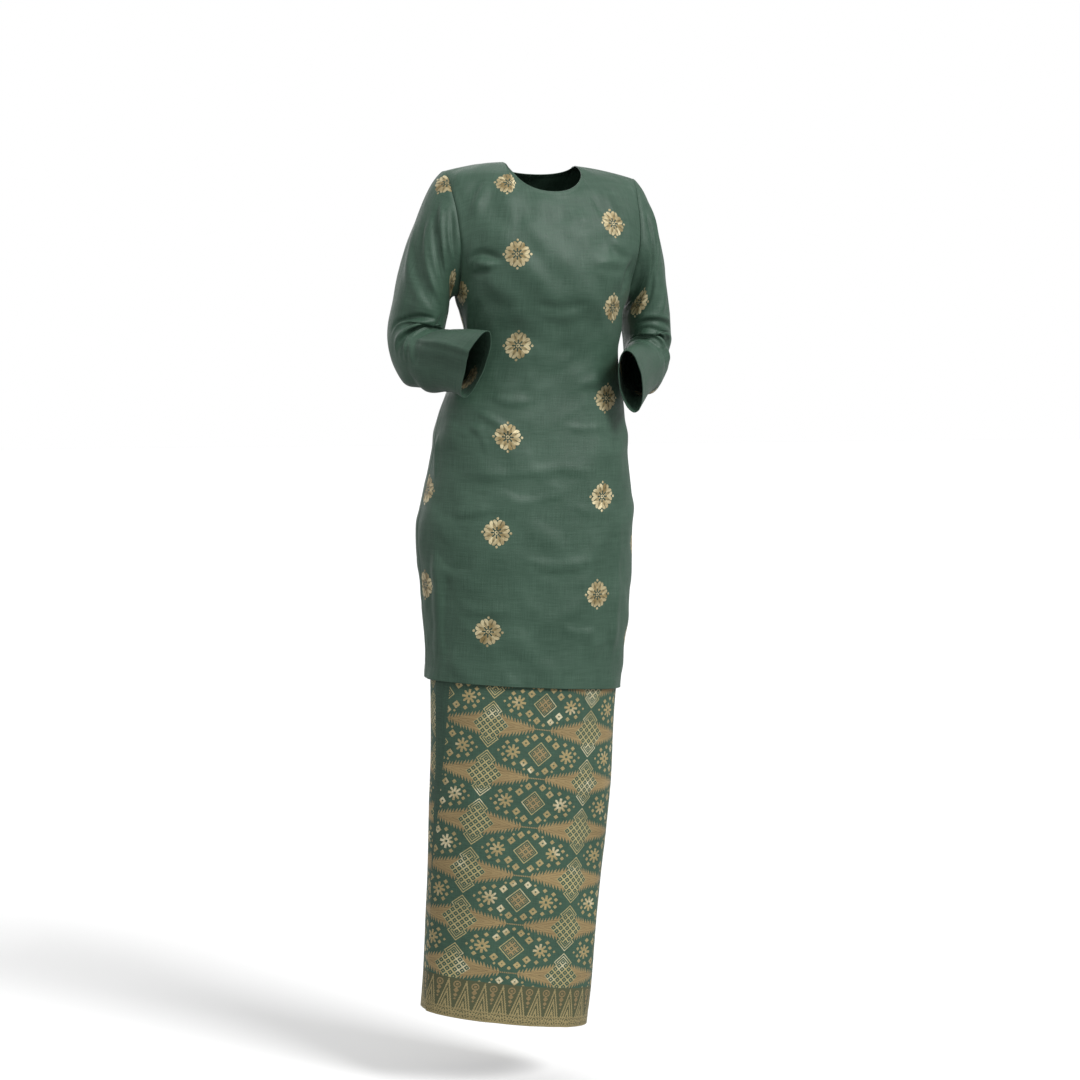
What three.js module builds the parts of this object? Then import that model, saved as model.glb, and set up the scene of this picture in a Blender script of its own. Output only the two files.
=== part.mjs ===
// A baju kurung: a long tunic with set-in sleeves, worn over a wrapped songket skirt.
// Millimetres, +Z up, the front faces -Y and +X is the wearer's left.
// The origin is the middle of the neck, level with the shoulders that carry the tunic.

import * as THREE from 'three';

// Cloth and sewing
const TUNIC_WALL = 1.4;
const SKIRT_WALL = 1.5;
const SEAM_GAP = 0.42;

// Tunic
const SHOULDER_END_X = 162;
const NECK_HALF_WIDTH = 63;
const FRONT_NECK_DROP = 51;
const BACK_NECK_DROP = 15;
const ARMHOLE_DROP = 224;
const NECK_ROUNDNESS = 2.3;
const BACK_SLIT_ROWS = 6;
const SHOULDER_LEVEL = 6;
const SHOULDER_ROUND_DROP = 20;
const HEM_SLOPE = -0.07;
const SHOULDER_COLUMNS = 6;
const NECK_COLUMNS = 10;

// Sleeves
const CAP_RINGS = 7;
const CAP_SLOPE = 0.4;
const CAP_EASE_TOP = 0.45;
const CAP_EASE_UNDER = 1.1;
const FIRST_RING_ALONG = 180;
const SLEEVE_RINGS = 22;
const SLANT_SET_BACK = 0.4;

// Skirt
const SKIRT_LAP = 0.12;
const SKIRT_LAP_STEP = 2.7;
const LAP_EASE_FROM = 0.8;
const FOLD_EDGE_ANGLE = 12;
const SKIRT_SQUARE = 2.15;
const SKIRT_COLUMNS = 44;
const SKIRT_TILT = -0.145;
const TILT_FROM_DROP = 450;
const TILT_OVER_DROP = 450;
const WAISTBAND_HEIGHT = 32;
const WAISTBAND_RISE = 6;
const WAISTBAND_STAND = 0.9;
const WAISTBAND_ROWS = 3;

// Fastening at the back neck
const BUTTON_RADIUS = 5;
const BUTTON_HEIGHT = 3.6;
const BUTTON_SIDES = 18;
const BUTTON_ACROSS = 9;
const BUTTON_DROP = 9;
const LOOP_CORD_RADIUS = 0.8;
const LOOP_CORD_SIDES = 6;
const LOOP_STEPS = 36;
const LOOP_BEND_POINTS = 6;
const LOOP_START = -6;
const LOOP_CLEARANCE = 0.5;
const FASTENING_STAND = 0.15;

// The shoulder line, from the wearer's right to the left: it stands a little lower on the left.
const shoulderLine = [
  { x: -200, rise: -23, y: 6 },
  { x: -162, rise: -13, y: 6 },
  { x: -110, rise: -6, y: 7 },
  { x: -63, rise: -2, y: 8 },
  { x: 0, rise: -3, y: 8 },
  { x: 63, rise: -6, y: 8 },
  { x: 110, rise: -13, y: 7 },
  { x: 162, rise: -25, y: 6 },
  { x: 200, rise: -38, y: 6 },
];

// The body of the tunic, by its drop below the shoulder line: middle, half width, depth of the
// front and of the back, and how square the section is.
const bodySections = [
  { drop: 0, midX: 0, midY: 6, half: 176, front: 0, back: 0, square: 2.2 },
  { drop: 3, midX: 0, midY: 6, half: 178, front: 16, back: 20, square: 2.2 },
  { drop: 9, midX: 0, midY: 6, half: 181, front: 31, back: 38, square: 2.2 },
  { drop: 20, midX: 1, midY: 6, half: 185, front: 48, back: 58, square: 2.2 },
  { drop: 38, midX: 1, midY: 6, half: 186, front: 65, back: 76, square: 2.2 },
  { drop: 60, midX: 2, midY: 5, half: 186, front: 80, back: 88, square: 2.2 },
  { drop: 85, midX: 3, midY: 5, half: 185, front: 93, back: 96, square: 2.2 },
  { drop: 112, midX: 3, midY: 4, half: 182, front: 104, back: 101, square: 2.2 },
  { drop: 140, midX: 3, midY: 3, half: 174, front: 112, back: 101, square: 2.2 },
  { drop: 168, midX: 2, midY: 2, half: 162, front: 117, back: 100, square: 2.2 },
  { drop: 196, midX: 2, midY: 1, half: 152, front: 118, back: 97, square: 2.2 },
  { drop: 224, midX: 1, midY: 0, half: 145, front: 115, back: 93, square: 2.2 },
  { drop: 250, midX: 2, midY: -1, half: 138, front: 108, back: 89, square: 2.2 },
  { drop: 280, midX: 3, midY: -2, half: 132, front: 99, back: 86, square: 2.2 },
  { drop: 312, midX: 2, midY: -3, half: 129, front: 93, back: 85, square: 2.2 },
  { drop: 350, midX: -3, midY: -3, half: 134, front: 90, back: 89, square: 2.2 },
  { drop: 390, midX: -10, midY: -2, half: 151, front: 92, back: 97, square: 2.2 },
  { drop: 430, midX: -15, midY: -1, half: 160, front: 97, back: 106, square: 2.2 },
  { drop: 494, midX: -17, midY: 0, half: 168, front: 104, back: 115, square: 2.2 },
  { drop: 560, midX: -21, midY: 1, half: 179, front: 108, back: 119, square: 2.2 },
  { drop: 618, midX: -26, midY: 1, half: 184, front: 109, back: 119, square: 2.2 },
  { drop: 690, midX: -25, midY: 1, half: 180, front: 107, back: 115, square: 2.2 },
  { drop: 750, midX: -25, midY: 1, half: 176, front: 105, back: 111, square: 2.2 },
  { drop: 820, midX: -27, midY: 1, half: 169, front: 99, back: 107, square: 2.2 },
  { drop: 876, midX: -30, midY: 1, half: 167, front: 96, back: 105, square: 2.2 },
];

// How far out the armhole edge stands at each drop.
const armholeEdge = [
  { drop: 0, x: 162 },
  { drop: 20, x: 161 },
  { drop: 60, x: 158 },
  { drop: 112, x: 155 },
  { drop: 168, x: 150 },
  { drop: 196, x: 147.5 },
  { drop: 224, x: 145 },
];

// Levels of the rows of the panels.
const armholeDrops = [0, 6, 18, 36, 58, 84, 112, 140, 166, 190, 210, 224];
const lowerDrops = [250, 280, 312, 350, 390, 430, 470, 512, 560, 610, 660, 710, 760, 815, 867];

function smooth(t) {
  const k = Math.min(1, Math.max(0, t));
  return k * k * (3 - 2 * k);
}

function mix(a, b, t) {
  return a + (b - a) * t;
}

// One row read from a table at any value of its first column, on a smooth curve through the rows.
function rowAt(table, key, value) {
  const last = table.length - 1;
  const v = Math.min(table[last][key], Math.max(table[0][key], value));
  let i = 0;
  while (i < last - 1 && table[i + 1][key] < v) {
    i += 1;
  }
  const before = table[Math.max(0, i - 1)];
  const from = table[i];
  const to = table[i + 1];
  const after = table[Math.min(last, i + 2)];
  const span = to[key] - from[key];
  const t = (v - from[key]) / span;
  const row = {};
  for (const name of Object.keys(from)) {
    const slopeFrom = (to[name] - before[name]) / (to[key] - before[key]);
    const slopeTo = (after[name] - from[name]) / (after[key] - from[key]);
    const h1 = (1 + 2 * t) * (1 - t) * (1 - t);
    const h2 = t * (1 - t) * (1 - t);
    const h3 = t * t * (3 - 2 * t);
    const h4 = t * t * (t - 1);
    row[name] = h1 * from[name] + h2 * span * slopeFrom + h3 * to[name] + h4 * span * slopeTo;
  }
  return row;
}

// A surface is a list of points and of four-sided cells, wound so that they face out of the garment.
function gridSurface(points, cells) {
  return { points: points.map((p) => p.clone()), cells };
}

function pointKey(p) {
  return [p.x, p.y, p.z].map((v) => Math.round(v * 1000)).join(' ');
}

function cellTriangles([a, b, c, d]) {
  return [[a, b, c], [a, c, d]];
}

// Sewn surfaces share the points of their seams. This gives each surface smooth outward normals that
// agree along the seams, then draws each sewn edge back by half the gap.
function sewTogether(surfaces, gap) {
  const shared = new Map();
  for (const surface of surfaces) {
    surface.points.forEach((p) => {
      const key = pointKey(p);
      const entry = shared.get(key) ?? { count: 0, normal: new THREE.Vector3() };
      entry.count += 1;
      shared.set(key, entry);
    });
    for (const cell of surface.cells) {
      for (const [a, b, c] of cellTriangles(cell)) {
        const face = triangleNormal(surface, a, b, c);
        [a, b, c].forEach((i) => shared.get(pointKey(surface.points[i])).normal.add(face));
      }
    }
  }
  for (const surface of surfaces) {
    surface.normals = surface.points.map((p) => shared.get(pointKey(p)).normal.clone().normalize());
    surface.sewn = surface.points.map((p) => shared.get(pointKey(p)).count > 1);
  }
  for (const surface of surfaces) {
    drawBackSeams(surface, gap);
  }
}

function triangleNormal(surface, a, b, c) {
  const [pa, pb, pc] = [surface.points[a], surface.points[b], surface.points[c]];
  return pb.clone().sub(pa).cross(pc.clone().sub(pa));
}

// Edges used by one cell only, in the direction of that cell.
function boundaryEdges(surface) {
  const edges = new Map();
  for (const cell of surface.cells) {
    cell.forEach((a, i) => {
      const b = cell[(i + 1) % cell.length];
      const back = b + ' ' + a;
      if (edges.has(back)) {
        edges.delete(back);
      } else {
        edges.set(a + ' ' + b, [a, b]);
      }
    });
  }
  return [...edges.values()];
}

function drawBackSeams(surface, gap) {
  const inward = surface.points.map(() => []);
  for (const [a, b] of boundaryEdges(surface)) {
    if (!surface.sewn[a] || !surface.sewn[b]) {
      continue;
    }
    const along = surface.points[b].clone().sub(surface.points[a]);
    for (const i of [a, b]) {
      inward[i].push(surface.normals[i].clone().cross(along).normalize());
    }
  }
  surface.points = surface.points.map((p, i) => {
    if (inward[i].length === 0) {
      return p;
    }
    const sum = inward[i].reduce((total, d) => total.add(d), new THREE.Vector3());
    const turn = inward[i].length === 2 ? 1 + inward[i][0].dot(inward[i][1]) : 1;
    const reach = turn < 0.2 ? 0 : gap / 2 / turn;
    return p.clone().addScaledVector(sum, reach);
  });
}

// The closed wall of a piece: its outer surface, the same surface moved in, and its cut edges.
function clothWall(surface, wall) {
  const count = surface.points.length;
  const positions = [];
  surface.points.forEach((p) => positions.push(p.x, p.y, p.z));
  surface.points.forEach((p, i) => {
    const q = p.clone().addScaledVector(surface.normals[i], -wall);
    positions.push(q.x, q.y, q.z);
  });
  const index = [];
  for (const cell of surface.cells) {
    for (const [a, b, c] of cellTriangles(cell)) {
      index.push(a, b, c);
      index.push(c + count, b + count, a + count);
    }
  }
  // A cut edge splits on the diagonal from its upper end, so that two sewn edges keep one shape.
  for (const [a, b] of boundaryEdges(surface)) {
    const upper = surface.points[a].z > surface.points[b].z;
    if (upper) {
      index.push(a, a + count, b + count);
      index.push(a, b + count, b);
    } else {
      index.push(b, a, a + count);
      index.push(b, a + count, b + count);
    }
  }
  const geometry = new THREE.BufferGeometry();
  geometry.setAttribute('position', new THREE.Float32BufferAttribute(positions, 3));
  geometry.setIndex(index);
  geometry.computeVertexNormals();
  return geometry;
}

// Tunic panels
// Across the top, the columns of a panel share out each shoulder and the neckline.
const columnTops = [];
for (let i = 0; i < SHOULDER_COLUMNS; i += 1) {
  columnTops.push(mix(-SHOULDER_END_X, -NECK_HALF_WIDTH, i / SHOULDER_COLUMNS));
}
for (let i = 0; i <= NECK_COLUMNS; i += 1) {
  columnTops.push(-NECK_HALF_WIDTH * Math.cos((Math.PI * i) / NECK_COLUMNS));
}
for (let i = 1; i <= SHOULDER_COLUMNS; i += 1) {
  columnTops.push(mix(NECK_HALF_WIDTH, SHOULDER_END_X, i / SHOULDER_COLUMNS));
}
const COLUMNS = columnTops.length - 1;
const bodyDrops = [...armholeDrops, ...lowerDrops];
const HEM_DROP = bodyDrops[bodyDrops.length - 1];

function neckDrop(x, deepest) {
  const reach = Math.min(1, Math.abs(x) / NECK_HALF_WIDTH);
  return deepest * Math.sqrt(1 - reach ** NECK_ROUNDNESS);
}

// side is -1 for the front and +1 for the back.
function bodyPoint(column, rowDrop, side) {
  const top = columnTops[column];
  const neck = neckDrop(top, side < 0 ? FRONT_NECK_DROP : BACK_NECK_DROP);
  const through = Math.min(1, rowDrop / ARMHOLE_DROP);
  const drop = rowDrop < ARMHOLE_DROP ? mix(neck, ARMHOLE_DROP, through) : rowDrop;
  const section = rowAt(bodySections, 'drop', drop);
  const armhole = drop < ARMHOLE_DROP ? rowAt(armholeEdge, 'drop', drop).x : section.half;
  const angle = ((column / COLUMNS) * 2 - 1) * (Math.PI / 2);
  const evenShare = Math.sign(angle) * Math.abs(Math.sin(angle)) ** (2 / section.square);
  const topX = top + (armhole - SHOULDER_END_X) * (top / SHOULDER_END_X) ** 3;
  const offset = mix(topX, armhole * evenShare, smooth(through));
  const reach = Math.min(1, Math.abs(offset) / section.half);
  const depth = side < 0 ? section.front : section.back;
  const x = section.midX + offset;
  const shoulder = rowAt(shoulderLine, 'x', x);
  const middle = mix(shoulder.y, section.midY, smooth(drop / SHOULDER_ROUND_DROP));
  const out = depth * (1 - reach ** section.square) ** (1 / section.square);
  const shoulderShare = 1 - smooth(drop / ARMHOLE_DROP);
  const hemShare = smooth((drop - ARMHOLE_DROP) / (HEM_DROP - ARMHOLE_DROP));
  const slope = shoulder.rise * shoulderShare + HEM_SLOPE * (x - section.midX) * hemShare;
  return new THREE.Vector3(x, middle + side * out, SHOULDER_LEVEL - drop + slope);
}

function bodyPanel(side, slitRows) {
  const points = [];
  const cells = [];
  const at = (column, row) => row * (COLUMNS + 1) + column;
  bodyDrops.forEach((drop) => {
    for (let column = 0; column <= COLUMNS; column += 1) {
      points.push(bodyPoint(column, drop, side));
    }
  });
  const middle = COLUMNS / 2;
  const slitPoint = (row) => points.length - slitRows + row;
  for (let row = 0; row < slitRows; row += 1) {
    points.push(points[at(middle, row)].clone());
  }
  for (let row = 0; row < bodyDrops.length - 1; row += 1) {
    for (let column = 0; column < COLUMNS; column += 1) {
      const left = (r) => (column === middle && r < slitRows ? slitPoint(r) : at(column, r));
      const cell = [left(row), left(row + 1), at(column + 1, row + 1), at(column + 1, row)];
      cells.push(side < 0 ? cell : cell.reverse());
    }
  }
  return gridSurface(points, cells);
}

// Sleeves
// Each sleeve runs from its armhole down the upper arm, round the elbow and along the forearm.
const sleeveRight = {
  side: -1,
  shoulder: [-163, 6, -62],
  elbow: [-217, 20, -311],
  cuff: [-144, -143, -330],
  bendRadius: 50,
};
const sleeveLeft = {
  side: 1,
  shoulder: [166, 8, -70],
  elbow: [200, 28, -318],
  cuff: [119, -122, -358],
  bendRadius: 50,
};

// Sections of a sleeve from the first full ring (0) to the cuff (1): half width across the arm,
// depth to the inside and to the outside of the elbow's bend, and how far the section is turned.
const sleeveSections = {
  right: [
    { along: 0, half: 46, inner: 60, outer: 60, twist: -27, slant: 0 },
    { along: 0.2, half: 46, inner: 53, outer: 59, twist: -20, slant: 0 },
    { along: 0.4, half: 46, inner: 45, outer: 59, twist: -6, slant: 0 },
    { along: 0.55, half: 44, inner: 43, outer: 59, twist: 0, slant: 0 },
    { along: 0.7, half: 38, inner: 50, outer: 57, twist: 0, slant: 2 },
    { along: 0.85, half: 29, inner: 54, outer: 56, twist: 0, slant: 7 },
    { along: 1, half: 20, inner: 56, outer: 57, twist: 0, slant: 14 },
  ],
  left: [
    { along: 0, half: 40, inner: 60, outer: 62, twist: -30, slant: 0 },
    { along: 0.2, half: 39, inner: 54, outer: 60, twist: -24, slant: 0 },
    { along: 0.4, half: 38, inner: 46, outer: 55, twist: -8, slant: 0 },
    { along: 0.55, half: 35, inner: 43, outer: 51, twist: 0, slant: 0 },
    { along: 0.7, half: 28, inner: 48, outer: 49, twist: 0, slant: 0 },
    { along: 0.85, half: 24, inner: 52, outer: 51, twist: 0, slant: 0 },
    { along: 1, half: 20, inner: 53, outer: 54, twist: 0, slant: 3 },
  ],
};

// The main folds of each sleeve: where along it and which way round they face (0 is the outer side,
// 90 the inside of the elbow), how high they stand (below 0 is a trough), and how far they spread.
const sleeveFolds = {
  right: [
    { along: 0.06, facing: 52, height: -3.2, spread: 0.12, width: 20 },
    { along: 0.24, facing: 85, height: 3.4, spread: 0.035, width: 55 },
    { along: 0.32, facing: 70, height: -4.2, spread: 0.03, width: 58 },
    { along: 0.41, facing: 60, height: 3.6, spread: 0.032, width: 60 },
    { along: 0.5, facing: 75, height: -4, spread: 0.03, width: 50 },
    { along: 0.6, facing: 85, height: 2.8, spread: 0.04, width: 45 },
    { along: 0.44, facing: 290, height: -3, spread: 0.045, width: 40 },
  ],
  left: [
    { along: 0.2, facing: 70, height: 3, spread: 0.035, width: 60 },
    { along: 0.28, facing: 60, height: -4, spread: 0.03, width: 66 },
    { along: 0.36, facing: 45, height: 3.8, spread: 0.03, width: 60 },
    { along: 0.45, facing: 55, height: -4.4, spread: 0.03, width: 64 },
    { along: 0.54, facing: 80, height: 3.2, spread: 0.032, width: 50 },
    { along: 0.58, facing: 280, height: -3.6, spread: 0.04, width: 45 },
  ],
};

function vector([x, y, z]) {
  return new THREE.Vector3(x, y, z);
}

// The sleeve's path: down to the elbow's arc, round it and on to the cuff.
function sleevePath(sleeve) {
  const shoulder = vector(sleeve.shoulder);
  const elbow = vector(sleeve.elbow);
  const cuff = vector(sleeve.cuff);
  const down = elbow.clone().sub(shoulder).normalize();
  const forward = cuff.clone().sub(elbow).normalize();
  const turn = Math.acos(down.dot(forward));
  const cut = sleeve.bendRadius * Math.tan(turn / 2);
  const bendStart = elbow.clone().addScaledVector(down, -cut);
  const bendEnd = elbow.clone().addScaledVector(forward, cut);
  const hinge = down.clone().cross(forward).normalize();
  const toBend = hinge.clone().cross(down).normalize();
  const start = shoulder.clone().addScaledVector(down, FIRST_RING_ALONG);
  const upper = start.distanceTo(bendStart);
  const arc = sleeve.bendRadius * turn;
  const lower = bendEnd.distanceTo(cuff);
  const centre = bendStart.clone().addScaledVector(toBend, sleeve.bendRadius);
  function at(share) {
    const run = share * (upper + arc + lower);
    const angle = Math.min(turn, Math.max(0, (run - upper) / sleeve.bendRadius));
    const inside = toBend.clone().applyAxisAngle(hinge, angle);
    const heading = down.clone().applyAxisAngle(hinge, angle);
    const straight = Math.min(0, run - upper) + Math.max(0, run - upper - arc);
    const middle = centre.clone().addScaledVector(inside, -sleeve.bendRadius);
    return { middle: middle.addScaledVector(heading, straight), inside, heading };
  }
  return { at, hinge, length: upper + arc + lower };
}

// The armhole as a ring of points: from the shoulder down the front edge, and back up the back edge.
function armholeRing(side) {
  const column = side < 0 ? 0 : COLUMNS;
  const front = armholeDrops.map((drop) => bodyPoint(column, drop, -1));
  const back = armholeDrops.map((drop) => bodyPoint(column, drop, 1));
  return [...front, ...back.slice(1, -1).reverse()];
}

function foldHeight(folds, share, angle) {
  const facing = (angle * 180) / Math.PI;
  return folds.reduce((total, fold) => {
    const turned = ((((facing - fold.facing) % 360) + 540) % 360) - 180;
    const along = (share - fold.along) / fold.spread;
    return total + fold.height * Math.exp(-along * along - (turned / fold.width) ** 2);
  }, 0);
}

function sleeveSurface(sleeve, sections, folds) {
  const path = sleevePath(sleeve);
  const outwards = path.hinge.clone().multiplyScalar(Math.sign(path.hinge.x) * sleeve.side);
  const ring = armholeRing(sleeve.side);
  const around = ring.length;
  const start = path.at(0);
  const front = new THREE.Vector3(0, -1, 0);
  const frontTurn = Math.atan2(start.inside.dot(front), outwards.dot(front));
  const ringPoint = (share, i) => {
    const frame = path.at(share);
    const section = rowAt(sections, 'along', share);
    const twist = (section.twist * Math.PI) / 180;
    const angle = (2 * Math.PI * i) / around + frontTurn - Math.PI / 2 - twist;
    const depth = Math.sin(angle) > 0 ? section.inner : section.outer;
    const plain = new THREE.Vector2(section.half * Math.cos(angle), depth * Math.sin(angle));
    const folded = plain.setLength(plain.length() + foldHeight(folds, share, angle));
    const wide = folded.x;
    const deep = folded.y;
    const ahead = section.slant * Math.sin(angle) - Math.abs(section.slant) * SLANT_SET_BACK;
    return frame.middle
      .clone()
      .addScaledVector(frame.heading, ahead)
      .addScaledVector(outwards, wide * Math.cos(twist) - deep * Math.sin(twist))
      .addScaledVector(frame.inside, wide * Math.sin(twist) + deep * Math.cos(twist));
  };
  const points = [];
  for (let k = 0; k < CAP_RINGS; k += 1) {
    const t = k / CAP_RINGS;
    ring.forEach((edge, i) => {
      const end = ringPoint(0, i);
      const angle = (2 * Math.PI * i) / around;
      const top = (1 + Math.cos(angle)) / 2;
      const reach = edge.distanceTo(end);
      const along = ring[(i + 1) % around].clone().sub(ring[(i + around - 1) % around]).normalize();
      const leave = new THREE.Vector3(sleeve.side, 0, -CAP_SLOPE * top);
      leave.addScaledVector(along, -leave.dot(along)).normalize();
      leave.multiplyScalar(reach * mix(CAP_EASE_UNDER, CAP_EASE_TOP, top));
      const arrive = start.heading.clone().multiplyScalar(reach);
      points.push(hermite(edge, leave, end, arrive, t));
    });
  }
  for (let k = 0; k <= SLEEVE_RINGS; k += 1) {
    for (let i = 0; i < around; i += 1) {
      points.push(ringPoint(k / SLEEVE_RINGS, i));
    }
  }
  const cells = [];
  for (let k = 0; k < CAP_RINGS + SLEEVE_RINGS; k += 1) {
    for (let i = 0; i < around; i += 1) {
      const j = (i + 1) % around;
      const cell = [k * around + i, k * around + j, (k + 1) * around + j, (k + 1) * around + i];
      cells.push(sleeve.side < 0 ? cell.reverse() : cell);
    }
  }
  return gridSurface(points, cells);
}

function hermite(from, leave, to, arrive, t) {
  const h1 = (1 + 2 * t) * (1 - t) * (1 - t);
  const h2 = t * (1 - t) * (1 - t);
  const h3 = t * t * (3 - 2 * t);
  const h4 = t * t * (t - 1);
  return new THREE.Vector3()
    .addScaledVector(from, h1)
    .addScaledVector(leave, h2)
    .addScaledVector(to, h3)
    .addScaledVector(arrive, h4);
}

// Skirt
// Sections of the skirt by drop below the shoulders: middle, half width, and depth of the front and
// of the back.
const skirtSections = [
  { drop: 380, midX: -8, midY: 0, half: 116, front: 84, back: 84 },
  { drop: 420, midX: -12, midY: 0, half: 128, front: 87, back: 92 },
  { drop: 480, midX: -16, midY: 1, half: 148, front: 94, back: 104 },
  { drop: 540, midX: -20, midY: 1, half: 161, front: 102, back: 113 },
  { drop: 610, midX: -25, midY: 1, half: 172, front: 106.7, back: 116.6 },
  { drop: 690, midX: -25, midY: 1, half: 170, front: 103, back: 111 },
  { drop: 770, midX: -26, midY: 1, half: 165, front: 95, back: 103 },
  { drop: 850, midX: -29, midY: 1, half: 160, front: 91, back: 100 },
  { drop: 900, midX: -31, midY: 1, half: 158, front: 90, back: 100 },
  { drop: 1000, midX: -34, midY: 1, half: 155, front: 90, back: 99 },
  { drop: 1090, midX: -40, midY: 1, half: 152, front: 88, back: 98 },
  { drop: 1180, midX: -47, midY: 1, half: 149, front: 86, back: 97 },
  { drop: 1270, midX: -52, midY: 1, half: 147, front: 83, back: 96 },
  { drop: 1360, midX: -57, midY: 1, half: 145, front: 80, back: 95 },
  { drop: 1432, midX: -64, midY: 1, half: 143, front: 78, back: 95 },
];
const skirtDrops = [380, 412, 450, 500, 550, 610, 680, 760, 850, 930, 1020, 1110, 1200, 1290, 1365, 1425];

// A point of the skirt, moved out by some millimetres: turns is 0 at the folded front edge and 1 once
// right round.
function skirtPoint(turns, drop, outBy) {
  const section = rowAt(skirtSections, 'drop', drop);
  const angle = turns * 2 * Math.PI + (FOLD_EDGE_ANGLE * Math.PI) / 180;
  const across = -Math.cos(angle);
  const deep = -Math.sin(angle);
  const half = section.half + outBy;
  const depth = (deep < 0 ? section.front : section.back) + outBy;
  const x = section.midX + half * Math.sign(across) * Math.abs(across) ** (2 / SKIRT_SQUARE);
  const tilt = SKIRT_TILT * smooth((drop - TILT_FROM_DROP) / TILT_OVER_DROP);
  return new THREE.Vector3(
    x,
    section.midY + depth * Math.sign(deep) * Math.abs(deep) ** (2 / SKIRT_SQUARE),
    tilt * (x - section.midX) - drop,
  );
}

// Before it comes round to the folded edge again, the cloth draws in far enough to pass under it.
function skirtWrapSurface() {
  const points = [];
  const cells = [];
  for (const drop of skirtDrops) {
    for (let i = 0; i <= SKIRT_COLUMNS; i += 1) {
      const turns = (i / SKIRT_COLUMNS) * (1 + SKIRT_LAP);
      const under = SKIRT_LAP_STEP * smooth((turns - LAP_EASE_FROM) / (1 - LAP_EASE_FROM));
      points.push(skirtPoint(turns, drop, -under));
    }
  }
  const across = SKIRT_COLUMNS + 1;
  for (let row = 0; row < skirtDrops.length - 1; row += 1) {
    for (let i = 0; i < SKIRT_COLUMNS; i += 1) {
      const from = row * across + i;
      cells.push([from, from + across, from + across + 1, from + 1]);
    }
  }
  return gridSurface(points, cells);
}

// The waistband lies round the top edge of the wrap, moved out from its points.
function waistbandSurface() {
  const points = [];
  const cells = [];
  for (let row = 0; row <= WAISTBAND_ROWS; row += 1) {
    const drop = skirtDrops[0] - WAISTBAND_RISE + (WAISTBAND_HEIGHT * row) / WAISTBAND_ROWS;
    for (let i = 0; i < SKIRT_COLUMNS; i += 1) {
      points.push(skirtPoint(i / SKIRT_COLUMNS, drop, WAISTBAND_STAND + SKIRT_WALL));
    }
  }
  for (let row = 0; row < WAISTBAND_ROWS; row += 1) {
    for (let i = 0; i < SKIRT_COLUMNS; i += 1) {
      const from = row * SKIRT_COLUMNS;
      const j = (i + 1) % SKIRT_COLUMNS;
      cells.push([from + i, from + SKIRT_COLUMNS + i, from + SKIRT_COLUMNS + j, from + j]);
    }
  }
  return gridSurface(points, cells);
}

// Fastening of the slit at the back neck
// A place on the slit just below the neckline, with the ways out of the cloth, across and up it.
function slitFrame() {
  const middle = COLUMNS / 2;
  const seat = bodyPoint(middle, BUTTON_DROP, 1);
  const up = bodyPoint(middle, BUTTON_DROP / 3, 1).sub(bodyPoint(middle, BUTTON_DROP * 2, 1)).normalize();
  const across = new THREE.Vector3(1, 0, 0);
  across.addScaledVector(up, -across.dot(up)).normalize();
  const out = across.clone().negate().cross(up).normalize();
  return { origin: seat, out, across, up };
}

function buttonGeometry() {
  const profile = [
    new THREE.Vector2(0, 0),
    new THREE.Vector2(BUTTON_RADIUS * 0.6, 0),
    new THREE.Vector2(BUTTON_RADIUS * 0.95, BUTTON_HEIGHT * 0.3),
    new THREE.Vector2(BUTTON_RADIUS, BUTTON_HEIGHT * 0.5),
    new THREE.Vector2(BUTTON_RADIUS * 0.7, BUTTON_HEIGHT * 0.88),
    new THREE.Vector2(0, BUTTON_HEIGHT),
  ];
  const frame = slitFrame();
  const geometry = new THREE.LatheGeometry(profile, BUTTON_SIDES);
  const sideways = frame.out.clone().cross(frame.across);
  const place = new THREE.Matrix4().makeBasis(sideways, frame.out, frame.across);
  const seat = frame.origin
    .clone()
    .addScaledVector(frame.across, BUTTON_ACROSS)
    .addScaledVector(frame.out, FASTENING_STAND);
  return geometry.applyMatrix4(place.setPosition(seat));
}

function loopGeometry() {
  const frame = slitFrame();
  const reach = BUTTON_RADIUS + LOOP_CLEARANCE + LOOP_CORD_RADIUS;
  const at = (across, up) => frame.origin
    .clone()
    .addScaledVector(frame.across, across)
    .addScaledVector(frame.up, up)
    .addScaledVector(frame.out, FASTENING_STAND + LOOP_CORD_RADIUS);
  const points = [at(LOOP_START, reach), at(mix(LOOP_START, BUTTON_ACROSS, 0.5), reach)];
  for (let i = 0; i <= LOOP_BEND_POINTS; i += 1) {
    const angle = Math.PI / 2 - (Math.PI * i) / LOOP_BEND_POINTS;
    points.push(at(BUTTON_ACROSS + reach * Math.cos(angle), reach * Math.sin(angle)));
  }
  points.push(at(mix(LOOP_START, BUTTON_ACROSS, 0.5), -reach), at(LOOP_START, -reach));
  const section = new THREE.Shape();
  for (let i = 0; i < LOOP_CORD_SIDES; i += 1) {
    const angle = (2 * Math.PI * i) / LOOP_CORD_SIDES;
    const x = LOOP_CORD_RADIUS * Math.cos(angle);
    const y = LOOP_CORD_RADIUS * Math.sin(angle);
    if (i === 0) {
      section.moveTo(x, y);
    } else {
      section.lineTo(x, y);
    }
  }
  const path = new THREE.CatmullRomCurve3(points, false, 'centripetal');
  const settings = { steps: LOOP_STEPS, bevelEnabled: false, extrudePath: path };
  return new THREE.ExtrudeGeometry(section, settings);
}

// Build
const tunicGreen = new THREE.MeshStandardMaterial({ color: 0x4d6a5a, roughness: 0.6, metalness: 0 });
const songket = new THREE.MeshStandardMaterial({ color: 0x6e7048, roughness: 0.5, metalness: 0.2 });

const garment = new THREE.Group();

function addPiece(name, geometry, material) {
  const mesh = new THREE.Mesh(geometry, material.clone());
  mesh.name = name;
  garment.add(mesh);
}

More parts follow.
